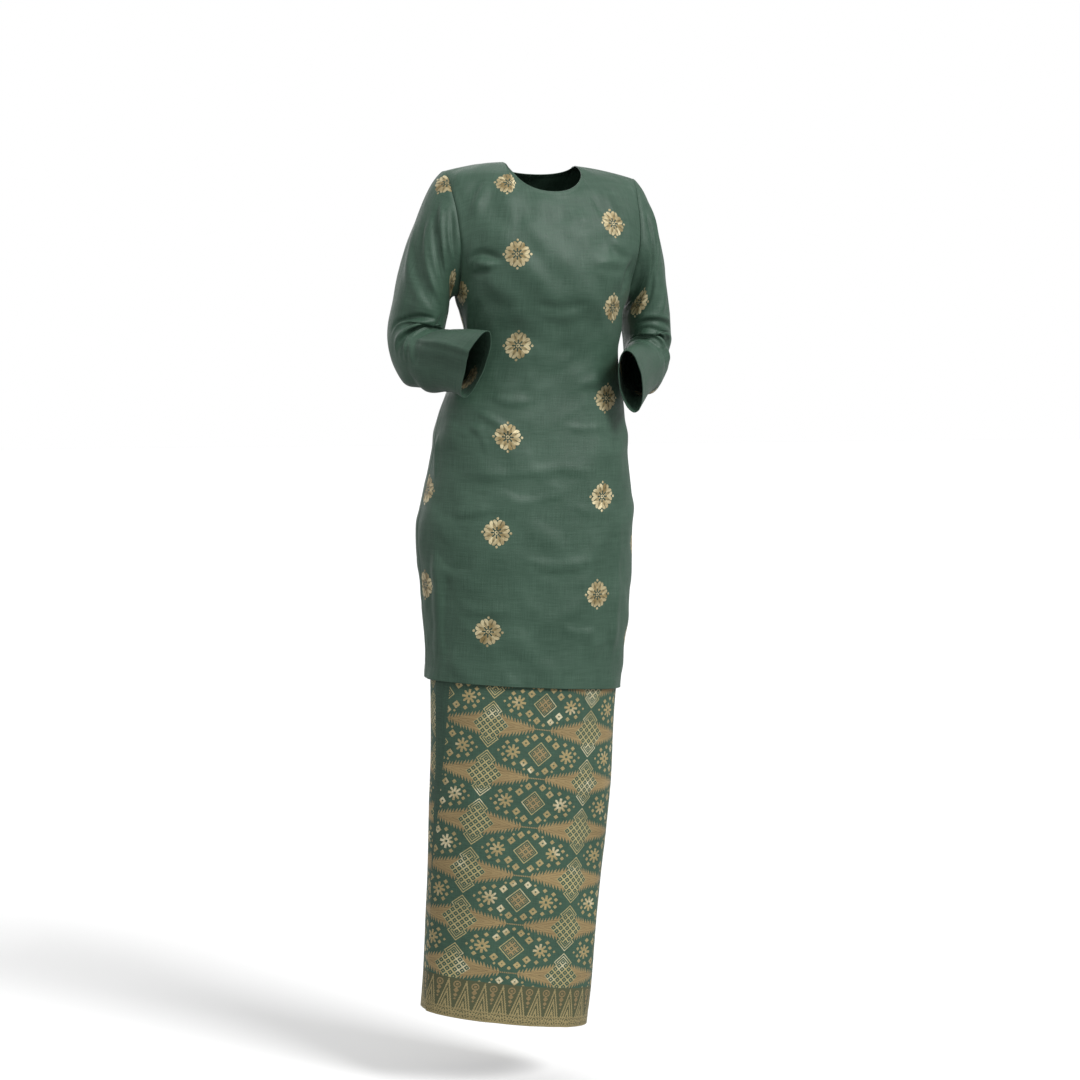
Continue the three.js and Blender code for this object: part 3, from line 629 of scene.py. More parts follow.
# Where the rosettes lie on each panel. They stand in columns, each half a step below the last.
front_rosettes = [
    (-98, -196), (-72, -67), (-66, 84), (-66, 237), (-77, 394), (-90, 558),
    (108, -122), (106, 20), (106, 170), (103, 332), (99, 494),
    (-185, -8), (-214, 158), (-219, 334), (-214, 492), (212, 92), (218, 256), (214, 414), (206, 574),
]
ROSETTE_ROW = 159
back_rosettes = [
    (column, first + ROSETTE_ROW * row)
    for column, first in ((-152, -120), (10, -40), (172, -120))
    for row in range(6)
]


def with_slit(quads, width, middle, rows, *arrays):
    """Parts the cloth at its middle column: the quads on its right get points of their own there."""
    count = len(arrays[0])
    old = np.arange(rows) * width + middle
    twin = np.full(count, -1)
    twin[old] = count + np.arange(rows)
    on_right = np.arange(len(quads)) % (width - 1) >= middle
    quads = np.where(on_right[:, None] & (twin[quads] >= 0), twin[quads], quads)
    return quads, *(np.concatenate([array, array[old]]) for array in arrays)


def tunic_panel(name, side, creases, rosettes, seed):
    """Builds the front or the back panel, its creases, seams, turned hem and neckline."""
    columns = edged(np.linspace(0, PANEL_COLUMNS, PANEL_COLUMNS * PANEL_SPLIT + 1))
    drops = even_steps(lambda d: panel_point(STEPPED_COLUMN, d, side), 0.0, HEM_DROP, PANEL_ROWS)
    points = panel_point(columns[None, :], drops[:, None], side)
    normals = outward(points, -side)
    run = run_along(points, 1)
    middle = len(columns) // 2
    u = run - run[:, middle : middle + 1]
    from_top = run_along(points, 0)
    v = from_top - np.array([np.interp(ARMHOLE_DROP, drops, column) for column in from_top.T])
    to_hem = from_top[-1] - from_top
    to_side = np.minimum(run, run[:, -1:] - run)
    shoulder = np.abs(columns - PANEL_COLUMNS / 2) > PANEL_COLUMNS / 2 - SHOULDER_COLUMNS
    to_seam = np.minimum(to_side, np.where(shoulder, from_top, FAR))
    to_neck = np.where(shoulder, FAR, from_top)
    rise = worn(u, v, creases, PANEL_RIPPLES, seed)
    shallow = TROUGH_ON_SKIRT * (np.exp(np.minimum(rise, 0) / TROUGH_ON_SKIRT) - 1)
    on_skirt = smooth((drops[:, None] - ON_SKIRT_FROM) / ON_SKIRT_OVER)
    rise = mix(rise, np.where(rise < 0, shallow, rise), on_skirt)
    rise = rise * smooth(to_seam / CALM_BY_SEAM) * smooth(to_neck / CALM_BY_NECK) + seam_dip(to_seam)
    rise = rise + gathers(v, to_side, *SIDE_GATHERS, seed) * smooth(to_seam / SEAM_CLEAR)
    rise = rise - HEM_STITCH_DEEP * hump(to_hem - HEM_TURNED, HEM_STITCH_WIDE)
    rise = rise - NECK_STITCH_DEEP * hump(to_neck - NECK_TURNED, NECK_STITCH_WIDE)
    points = points + normals * rise[..., None]
    normals = outward(points, -side)
    turned = turned_in(to_hem, HEM_TURNED) + turned_in(to_neck, NECK_TURNED)
    thickness = CLOTH_THICK * (1 + TURNED_THICKER * np.minimum(1, turned))
    free = (to_hem < AT_EDGE) | (to_neck < AT_EDGE)
    quads = grid_quads(*u.shape, flip=side > 0)
    places = np.stack([u, v], -1).reshape(-1, 2)
    cloth = [points.reshape(-1, 3), normals.reshape(-1, 3), places, thickness.ravel(), free.ravel()]
    if side > 0:
        slit_rows = int(np.searchsorted(drops, SLIT_DROP))
        quads, *cloth = with_slit(quads, len(columns), middle, slit_rows, *cloth)
    points, normals, places, thickness, free = cloth
    return cloth_shell(name, points, normals, quads, places[quads], thickness, free, rosettes)


tunic_green = tunic_cloth("tunic_satin")

tunic_front = tunic_panel("front_panel", -1, front_creases, front_rosettes, 11)
tunic_front.data.materials.append(tunic_green)
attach(tunic_front, "root")
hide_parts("tunic_front")

tunic_back = tunic_panel("back_panel", 1, back_creases, back_rosettes, 23)
tunic_back.data.materials.append(tunic_green)
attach(tunic_back, "root")
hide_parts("tunic_back")

# Sleeves
# Each is one piece of the same satin, sewn into a tube along its underside and set into the armhole.
# The sleeves are bent, so the cloth drags in long folds above the bend and crumples inside it.
CAP_SLOPE = 0.4
CAP_EASE_TOP = 0.45
CAP_EASE_UNDER = 1.1
SLANT_BACK = 0.4
SLEEVE_BEND = 50.0
FIRST_RING = 180.0
RING_POINTS = 22
CUFF_TURNED = 14.0

# Which armhole drop each ring point lies at: ring point, drop
ring_drops = list(enumerate([0, 6, 18, 36, 58, 84, 112, 140, 166, 190, 210, 224]))

# Sections of each sleeve: along, half width, depth inside and outside the bend, twist, slant
right_sections = [
    (0, 46, 60, 60, -27, 0), (0.2, 46, 53, 59, -20, 0), (0.4, 46, 45, 59, -6, 0),
    (0.55, 44, 43, 58, 0, 0), (0.7, 38, 50, 52, 0, 2), (0.85, 29, 54, 52, 0, 7),
    (1, 20, 56, 57, 0, 14),
]
left_sections = [
    (0, 40, 60, 62, -30, 0), (0.2, 39, 54, 60, -24, 0), (0.4, 38, 46, 55, -8, 0),
    (0.55, 35, 43, 50, 0, 0), (0.7, 28, 48, 44, 0, 0), (0.85, 24, 52, 48, 0, 0),
    (1, 20, 53, 54, 0, 3),
]
# The main folds of each sleeve: along, facing, height, spread along, width round
right_folds = [
    (0.06, 52, -3.2, 0.12, 20), (0.24, 85, 3.4, 0.035, 55), (0.32, 70, -4.2, 0.03, 58),
    (0.41, 60, 3.6, 0.032, 60), (0.5, 75, -4, 0.03, 50), (0.6, 85, 2.8, 0.04, 45),
    (0.44, 290, -3, 0.045, 40),
]
left_folds = [
    (0.2, 70, 3, 0.035, 60), (0.28, 60, -4, 0.03, 66), (0.36, 45, 3.8, 0.03, 60),
    (0.45, 55, -4.4, 0.03, 64), (0.54, 80, 3.2, 0.032, 50), (0.58, 280, -3.6, 0.04, 45),
]


def unit(v):
    return v / np.linalg.norm(v, axis=-1, keepdims=True)


def sleeve_path(shoulder, elbow, cuff, bend):
    """The middle line of a sleeve: its length and a function that gives points and directions on it."""
    shoulder, elbow, cuff = (np.asarray(p, float) for p in (shoulder, elbow, cuff))
    down, forward = unit(elbow - shoulder), unit(cuff - elbow)
    turn = math.acos(down @ forward)
    cut = bend * math.tan(turn / 2)
    bend_start, bend_end = elbow - down * cut, elbow + forward * cut
    hinge = unit(np.cross(down, forward))
    to_bend = unit(np.cross(hinge, down))
    upper = np.linalg.norm(shoulder + down * FIRST_RING - bend_start)
    arc, lower = bend * turn, np.linalg.norm(cuff - bend_end)
    centre = bend_start + to_bend * bend

    def at(share):
        run = np.asarray(share, float)[..., None] * (upper + arc + lower)
        angle = np.clip((run - upper) / bend, 0, turn)
        inside = to_bend * np.cos(angle) - down * np.sin(angle)
        heading = down * np.cos(angle) + to_bend * np.sin(angle)
        straight = np.minimum(0, run - upper) + np.maximum(0, run - upper - arc)
        return centre - inside * bend + heading * straight, inside, heading

    return at, hinge, upper + arc + lower


def armhole_point(side, index):
    """The armhole ring: down the front edge from the shoulder, and back up the back edge."""
    column = 0.0 if side < 0 else float(PANEL_COLUMNS)
    in_front = index <= RING_POINTS // 2
    down = row_at(ring_drops, np.where(in_front, index, RING_POINTS - index))[..., 0]
    return np.where(in_front[..., None], panel_point(column, down, -1), panel_point(column, down, 1))


def sleeve_points(side, path, sections, folds, cap, shares, index):
    """The grid of a sleeve's points: the cap from the armhole, then the rings down to the cuff."""
    at, hinge, _ = path
    outwards = hinge * np.sign(hinge[0]) * side
    _, inside, heading = at(0.0)
    front = np.array([0, -1.0, 0])
    front_turn = math.atan2(inside @ front, outwards @ front)
    around = 2 * math.pi * index / RING_POINTS

    def ring(share):
        middle, inward, ahead = at(share)
        half, inner, outer, twist, slant = np.moveaxis(row_at(sections, share), -1, 0)[..., None]
        twist = np.radians(twist)
        angle = around + front_turn - math.pi / 2 - twist
        wide = half * np.cos(angle)
        deep = np.where(np.sin(angle) > 0, inner, outer) * np.sin(angle)
        fold = 0
        for along, facing, height, spread, width in folds:
            turned = (np.degrees(angle) - facing + 180) % 360 - 180
            away = ((share[:, None] - along) / spread) ** 2 + (turned / width) ** 2
            fold = fold + height * np.exp(-away)
        stretch = 1 + fold / np.hypot(wide, deep)
        wide, deep = wide * stretch, deep * stretch
        shift = slant * np.sin(angle) - np.abs(slant) * SLANT_BACK
        return (
            middle[:, None, :]
            + ahead[:, None, :] * shift[..., None]
            + outwards * (wide * np.cos(twist) - deep * np.sin(twist))[..., None]
            + inward[:, None, :] * (wide * np.sin(twist) + deep * np.cos(twist))[..., None]
        )

    edge = armhole_point(side, index)
    end = ring(np.zeros(1))[0]
    top = (1 + np.cos(around)) / 2
    reach = np.linalg.norm(end - edge, axis=-1)
    next_point, last_point = (armhole_point(side, (index + step) % RING_POINTS) for step in (0.5, -0.5))
    along = unit(next_point - last_point)
    leave = np.stack([np.full_like(top, side), np.zeros_like(top), -CAP_SLOPE * top], -1)
    leave = unit(leave - along * np.sum(leave * along, -1)[:, None])
    leave = leave * (reach * mix(CAP_EASE_UNDER, CAP_EASE_TOP, top))[:, None]
    arrive = heading * reach[:, None]
    t = cap[:, None, None]
    caps = hermite(edge[None], leave[None], end[None], arrive[None], t)
    return np.concatenate([caps, ring(shares)])


SLEEVE_SPLIT = 6
CAP_ROWS = 44
TUBE_ROWS = 150
SLEEVE_RIPPLES = [(40, 3.0, 0.4), (15, 2.0, 0.12)]
ARMHOLE_GATHERS = (0.25, 0.7, 0.13, 9)
CALM_BY_ARMHOLE, CALM_BY_CUFF, CALM_AT_CUFF = 18, 14, 0.75
UNDER_SEAM_DEEP, UNDER_SEAM_WIDE, UNDER_SEAM_FROM = 0.5, 1.6, 6
CUFF_STITCH_DEEP, CUFF_STITCH_WIDE = 0.35, 2
BEND_STRETCH = 1.85

# Creases of the sleeves: across is measured round from the top of the sleeve towards the front,
# down from the foot of the cap.
right_creases = [
    ([(50, -190), (58, -172), (106, -104), (130, -52)], 7, 4.4),
    ([(36, -150), (52, -104), (76, -53), (112, -2)], 7, 4.2),
    ([(40, -170), (86, -92), (118, -30)], 7, -3.6),
    ([(20, -110), (40, -66), (70, -25), (98, 4)], 8, -3.4),
    ([(70, -196), (119, -148), (160, -104)], 5, 3.1),
    ([(78, -180), (129, -119), (170, -84)], 5, -3.1),
    ([(0, -150), (14, -90), (34, -20)], 9, 2.9),
    ([(-34, -150), (-22, -80), (-10, 10)], 11, 2.6),
    ([(8, 50), (30, 32), (58, 18), (104, 10)], 5, -6.0),
    ([(0, 82), (26, 66), (58, 58), (92, 50)], 6, 4.7),
    ([(2, 100), (36, 82), (76, 66)], 5, -4.7),
    ([(0, 118), (30, 108), (48, 96)], 7, 2.9),
    ([(116, -6), (104, 30), (98, 60)], 7, -3.1),
    ([(-70, 70), (-40, 92), (-6, 96)], 10, 3.1),
    ([(-110, 40), (-80, 70), (-50, 118)], 9, -3.1),
    ([(-130, 150), (-84, 170), (-40, 168)], 9, 1.8),
    ([(40, 76), (46, 120), (43, 160), (40, 330)], 5, 2.2),
    ([(44, 84), (44, 160), (40, 340)], 24, 6.5),
]
left_creases = [
    ([(24, -206), (44, -160), (66, -110), (84, -60)], 7, 3.6),
    ([(60, -190), (88, -150), (108, -100), (112, -60)], 7, -3.6),
    ([(0, -180), (14, -120), (34, -50)], 8, 2.9),
    ([(96, -84), (92, -44), (108, -4)], 7, -3.1),
    ([(48, -60), (60, -20), (84, 0)], 8, 2.9),
    ([(124, 16), (96, 4), (58, 12), (30, 30)], 5, -4.4),
    ([(122, 42), (96, 24), (52, 44), (26, 60)], 5, 4.4),
    ([(112, 66), (80, 52), (44, 74)], 5, -4.4),
    ([(104, 90), (70, 78), (34, 104)], 6, 3.9),
    ([(84, 118), (60, 108), (26, 130)], 6, -3.1),
    ([(-80, 40), (-50, 76), (-14, 88)], 9, 3.1),
    ([(-106, 80), (-74, 104), (-30, 120)], 9, -2.9),
    ([(-40, -140), (-30, -70), (-20, 10)], 11, 2.6),
]
# Where the rosettes lie on each sleeve. The cloth outside the bend is longer than its middle line.
right_rosettes = [
    (34, -214), (178, -52), (-60, -110), (-92, 40, BEND_STRETCH), (-84, 190), (-150, -30),
]
left_rosettes = [
    (118, -28), (-40, -150), (-14, -40), (-90, 40, BEND_STRETCH), (-110, 170), (-44, 120),
]


def corner_places(u, v):
    """The places of each quad's corners on a closed grid, where u has one column more than v."""
    width = v.shape[1]
    row, column = np.divmod(np.arange((len(v) - 1) * width), width)
    corners = (row, column), (row + 1, column), (row + 1, column + 1), (row, column + 1)
    return np.stack([np.stack([u[r, c], v[r, c % width]], -1) for r, c in corners], 1)


def sleeve(name, side, path, sections, folds, creases, rosettes, seed):
    """Builds a sleeve, its creases, its seams at the armhole and underneath, and its turned cuff."""
    index = np.linspace(0, RING_POINTS, RING_POINTS * SLEEVE_SPLIT, endpoint=False)
    cap = edged(np.linspace(0, 1, CAP_ROWS + 1))[:-1]
    shares = edged(np.linspace(0, 1, TUBE_ROWS))
    points = sleeve_points(side, path, sections, folds, cap, shares, index)
    normals = outward(points, side, closed=True)
    on_top = normals[len(cap) // 8, 0]
    normals *= np.sign(on_top @ np.array([side, 0, 1]))
    round_run = run_along(np.concatenate([points, points[:, :1]], axis=1), 1)
    girth = round_run[:, -1:]
    from_top = round_run[:, :-1]
    u = np.where(from_top > girth / 2, from_top - girth, from_top)
    to_under = girth / 2 - np.minimum(from_top, girth - from_top)
    cap_run = run_along(points[: len(cap) + 1], 0)
    tube_run = np.repeat((shares * path[2])[:, None], len(index), 1)
    from_armhole = np.concatenate([cap_run[:-1], cap_run[-1] + tube_run])
    v = np.concatenate([(cap_run - cap_run[-1])[:-1], tube_run])
    to_cuff = path[2] - np.maximum(v, 0)
    rise = worn(u, v, creases, SLEEVE_RIPPLES, seed)
    rise = rise * smooth(from_armhole / CALM_BY_ARMHOLE)
    rise = rise * mix(CALM_AT_CUFF, 1, smooth(to_cuff / CALM_BY_CUFF)) + seam_dip(from_armhole)
    rise = rise + gathers(u, from_armhole, *ARMHOLE_GATHERS) * smooth(from_armhole / SEAM_CLEAR)
    under_seam = UNDER_SEAM_DEEP * hump(to_under, UNDER_SEAM_WIDE)
    rise = rise - under_seam * smooth(from_armhole / UNDER_SEAM_FROM)
    rise = rise - CUFF_STITCH_DEEP * hump(to_cuff - CUFF_TURNED, CUFF_STITCH_WIDE)
    points = points + normals * rise[..., None]
    thickness = CLOTH_THICK * (1 + TURNED_THICKER * turned_in(to_cuff, CUFF_TURNED))
    quads = grid_quads(*u.shape, closed=True, flip=side < 0)
    # Across is counted from the top, forwards over one half of the tube and backwards over the other.
    rows, columns = np.divmod(np.arange(len(quads)), len(index))
    behind = columns >= np.argmax(from_top > girth / 2, axis=1)[rows]
    ahead_places, behind_places = corner_places(round_run, v), corner_places(round_run - girth, v)
    places = np.where(behind[:, None, None], behind_places, ahead_places)
    if side < 0:
        places = places[:, ::-1]
    return cloth_shell(name, points, normals, quads, places, thickness, to_cuff < AT_EDGE, rosettes)


right_path = sleeve_path((-163, 6, -62), (-217, 20, -311), (-144, -143, -330), SLEEVE_BEND)
left_path = sleeve_path((166, 8, -70), (200, 28, -318), (119, -122, -358), SLEEVE_BEND)
sleeve_right = sleeve(
    "right_sleeve", -1, right_path, right_sections, right_folds, right_creases, right_rosettes, 31
)
sleeve_right.data.materials.append(tunic_green)
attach(sleeve_right, "root")
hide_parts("sleeve_right")

sleeve_left = sleeve(
    "left_sleeve", 1, left_path, left_sections, left_folds, left_creases, left_rosettes, 47
)
sleeve_left.data.materials.append(tunic_green)
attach(sleeve_left, "root")
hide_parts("sleeve_left")

# Button and loop at the back neck
# A small shank button covered with the tunic's satin, and a thin cord of the same cloth that closes
# round it over the slit. Both are sewn to the edges of the slit.
BUTTON_RADIUS = 5.0
BUTTON_HIGH = 3.6
BUTTON_ACROSS = 9.0
BUTTON_DROP = 9.0
CORD_RADIUS = 0.8
CORD_CLEARANCE = 0.5
CORD_START = -6.0
FASTENING_STAND = 0.5
plain_green = tunic_cloth("plain_satin", with_rosettes=False)


def slit_place(across, up, out):
    """A point beside the slit, just below the neckline: across it, up it and out of the cloth."""
    middle = PANEL_COLUMNS / 2
    seat, above, below = (panel_point(middle, BUTTON_DROP * k, 1) for k in (1, 1 / 3, 2))
    upwards = unit(above - below)
    sideways = unit(np.array([1.0, 0, 0]) - upwards * upwards[0])
    outwards = np.cross(-sideways, upwards)
    across, up, out = (np.asarray(value, float)[..., None] for value in (across, up, out))
    return seat + sideways * across + upwards * up + outwards * out


COVER_MAP = 10


def closed_grid(name, points):
    """A closed body from rings of points, with a flat cap over each end."""
    rows, columns = points.shape[:2]
    quads = grid_quads(rows, columns, closed=True)
    caps = [np.arange(columns), (rows - 1) * columns + np.arange(columns)[::-1]]
    corners = np.concatenate([quads.ravel(), *caps])
    places = np.stack([corners % columns / columns, corners // columns / rows], -1) * COVER_MAP
    faces = quads.tolist() + [cap.tolist() for cap in caps]
    return new_piece(name, points.reshape(-1, 3), faces, {"cloth": places})


# The button's cover: a domed top, with small gathers where the cloth is drawn in underneath.
cover_profile = [
    (0, 2.6, 0), (1, 3.4, 0.15), (2, 4.3, 0.6), (3, 4.85, 1.2), (4, 5.0, 1.75),
    (5, 4.8, 2.3), (6, 4.1, 2.9), (7, 2.9, 3.3), (8, 1.4, 3.53), (9, 0.25, BUTTON_HIGH),
]
COVER_GATHERS, GATHER_DEEP, GATHER_HIGH = 14, 0.02, 1.4
cover_rows = row_at(cover_profile, np.linspace(0, len(cover_profile) - 1, 40))
cover_turn = np.linspace(0, 2 * math.pi, 64, endpoint=False)
drawn_in = GATHER_DEEP * smooth((GATHER_HIGH - cover_rows[:, 1:]) / GATHER_HIGH)
cover_radius = cover_rows[:, :1] * (1 + np.sin(cover_turn * COVER_GATHERS)[None, :] * drawn_in)
button = closed_grid("button", slit_place(
    BUTTON_ACROSS + cover_radius * np.cos(cover_turn),
    cover_radius * np.sin(cover_turn),
    FASTENING_STAND + cover_rows[:, 1:] + 0 * cover_turn,
))
button.data.materials.append(plain_green)
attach(button, "root")
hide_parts("neck_button")

# The loop's cord lies on the cloth, round the button and back, with a slight twist in its cover.
CORD_RIB, CORD_TWIST = 0.06, 0.55
loop_reach = BUTTON_RADIUS + CORD_CLEARANCE + CORD_RADIUS
loop_ends = [(CORD_START, 1), ((CORD_START + BUTTON_ACROSS) / 2, 1)]
loop_bend = [math.pi / 2 - math.pi * k / 6 for k in range(7)]
loop_line = [(x, side * loop_reach) for x, side in loop_ends]
loop_line += [(BUTTON_ACROSS + loop_reach * math.cos(a), loop_reach * math.sin(a)) for a in loop_bend]
loop_line += [(x, -side * loop_reach) for x, side in reversed(loop_ends)]
loop_table = [(k, x, y) for k, (x, y) in enumerate(loop_line)]
loop_path = row_at(loop_table, np.linspace(0, len(loop_line) - 1, 130))
loop_heading = unit(np.gradient(loop_path, axis=0))
cord_turn = np.linspace(0, 2 * math.pi, 16, endpoint=False)
cord_twist = np.arange(len(loop_path))[:, None] * CORD_TWIST
cord_radius = CORD_RADIUS * (1 + CORD_RIB * np.sin(2 * cord_turn[None, :] + cord_twist))
cord_side = cord_radius * np.cos(cord_turn)
cord_out = cord_radius * np.sin(cord_turn)
neck_loop = closed_grid("button_loop", slit_place(
    loop_path[:, :1] - loop_heading[:, 1:] * cord_side,
    loop_path[:, 1:] + loop_heading[:, :1] * cord_side,
    FASTENING_STAND + CORD_RADIUS + cord_out,
))
neck_loop.data.materials.append(plain_green)
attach(neck_loop, "root")
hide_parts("neck_loop")

# Songket wrap
# One length of green cloth with gold thread woven in by hand. It goes once round and laps under its
# own folded front edge, on the right of the front, and its hem carries a border of spires.
SKIRT_SQUARENESS = 2.15
SKIRT_TILT = -0.145
TILT_FROM = 450
FOLD_EDGE_ANGLE = math.radians(12)
SKIRT_LAP = 0.12
LAP_STEP = 2.7
LAP_EASE_FROM = 0.8
SKIRT_TOP = 380.0
SKIRT_HEM = 1425.0
UNDER_TUNIC = 760.0
SKIRT_COLUMNS = 214
SKIRT_ROWS = 208

# Sections of the skirt: drop, middle across and deep, half width, depth of the front and of the back
skirt_sections = [
    (380, -8, 0, 116, 84, 84), (420, -12, 0, 128, 87, 92), (480, -16, 1, 148, 94, 104),
    (540, -20, 1, 161, 102, 113), (610, -25, 1, 172, 106.7, 116.6), (690, -25, 1, 170, 103, 111),
    (770, -26, 1, 165, 95, 103), (850, -29, 1, 160, 91, 100), (900, -31, 1, 158, 90, 100),
    (1000, -34, 1, 155, 90, 99), (1090, -40, 1, 152, 88, 98), (1180, -47, 1, 149, 86, 97),
    (1270, -52, 1, 147, 83, 96), (1360, -57, 1, 145, 80, 95), (1432, -64, 1, 143, 78, 95),
]


def skirt_point(turns, drop, out_by):
    """A point of the skirt: turns is 0 at the folded front edge and 1 once right round."""
    middle_x, middle_y, half, front, back = np.moveaxis(row_at(skirt_sections, drop), -1, 0)
    angle = turns * 2 * math.pi + FOLD_EDGE_ANGLE
    across, deep = -np.cos(angle), -np.sin(angle)
    power = 2 / SKIRT_SQUARENESS
    x = middle_x + (half + out_by) * np.sign(across) * np.abs(across) ** power
    y = middle_y + (np.where(deep < 0, front, back) + out_by) * np.sign(deep) * np.abs(deep) ** power
    tilt = SKIRT_TILT * smooth((drop - TILT_FROM) / TILT_FROM)
    return np.stack([x, y, tilt * (x - middle_x) - drop], -1)


SONGKET_GROUND = (0.055, 0.118, 0.075)
SONGKET_DEEP = (0.023, 0.056, 0.038)
SONGKET_TAN = (0.39, 0.285, 0.135)
SONGKET_GOLD = (0.52, 0.44, 0.21)
SONGKET_OLIVE = (0.085, 0.088, 0.04)
# The pale cream of the painted glints on the gold thread
SONGKET_PAINTED_GLINT = (0.80, 0.73, 0.50)
SONGKET_SHEEN = (0.05, 0.5)
SONGKET_BUMP = (0.5, 0.0006)
WEFT_SCALE, CROSS_SCALE, TONE_SCALE, PATCH_SCALE = (50, 900), (1000, 30), (7, 7), (20, 20)
SONGKET_THREAD = 0.0009
# Where the chart lies: its start, its lean, and the width of a repeat, which narrows upwards
LOZENGE_START = 0.036
LOZENGE_LEAN = 0.136
COLUMN_WIDE = 0.1955
COLUMN_NARROWS = 0.039
ROW_START = 0.004
MARGIN_FROM = 0.22
MARGIN_GROWS = 0.1
# The chart itself, in threads
THREADS_A_METRE = 1000
CHART_WIDE = 176
CHART_HIGH = 82
BORDER_HIGH = 66
LOZENGE_HIGH, LOZENGE_WIDE = 18.5, 74
TOOTH_STEP, TOOTH_LEAN, TOOTH_HIGH, TOOTH_SLIM = 5, 0.3, 7.5, 0.28
LINE_STEP, LINE_WIDE = 4, 1.1
BRIDGE_HIGH, BRIDGE_STEP, BRIDGE_DASH = 1.1, 3, 2
LATTICE_STEP, LATTICE_WIDE, LATTICE_LINE, LATTICE_DOT = 12, 30, 4, 1.6
CROWN_UP, CROWN_WIDE, CROWN_STEP, CROWN_LINE = 23.5, 19, 5, 2.6
EYE_STEP, EYE_WIDE, EYE_LINE, EYE_DOT, EYE_RIM = 11, 16, 3.4, 1.3, (18, 20.5)
# Squares beside the eye, as across, up, hole and size, and crumbs as across, up and size
SQUARES = [(12, 27, 1.8, 6.4), (26, 16.5, 2, 7)]
CRUMBS = [(62, 6, 3.6), (57, 14.5, 3.6), (42, 19.5, 3.6), (0, 33, 3.8), (70, 0, 3), (24, 27, 3)]
STAR_ACROSS, ARM_SLIM, ARM_SPAN, SLANT_SLIM, SLANT_SPAN = 46, 2.1, (2.2, 12), 2.4, (2.4, 9.4)
SPIRE_STEP, SPIRE_WIDE, SPIRE_FOOT, SPIRE_LINE = 28, 14.5, 6, 4.2
BUD_UP, BUD_RADIUS, BUD_RING, BUD_HEART = 56, 6, 4, 2.2
BUD_CRUMBS = [(46, 4.2), (38, 3.2), (31.5, 2.4)]
FOOT_HIGH, FOOT_STEP, ZIGZAG_STEP, FOOT_LINE, HEM_LINE = 17, 14, 5, 1.9, 2.2


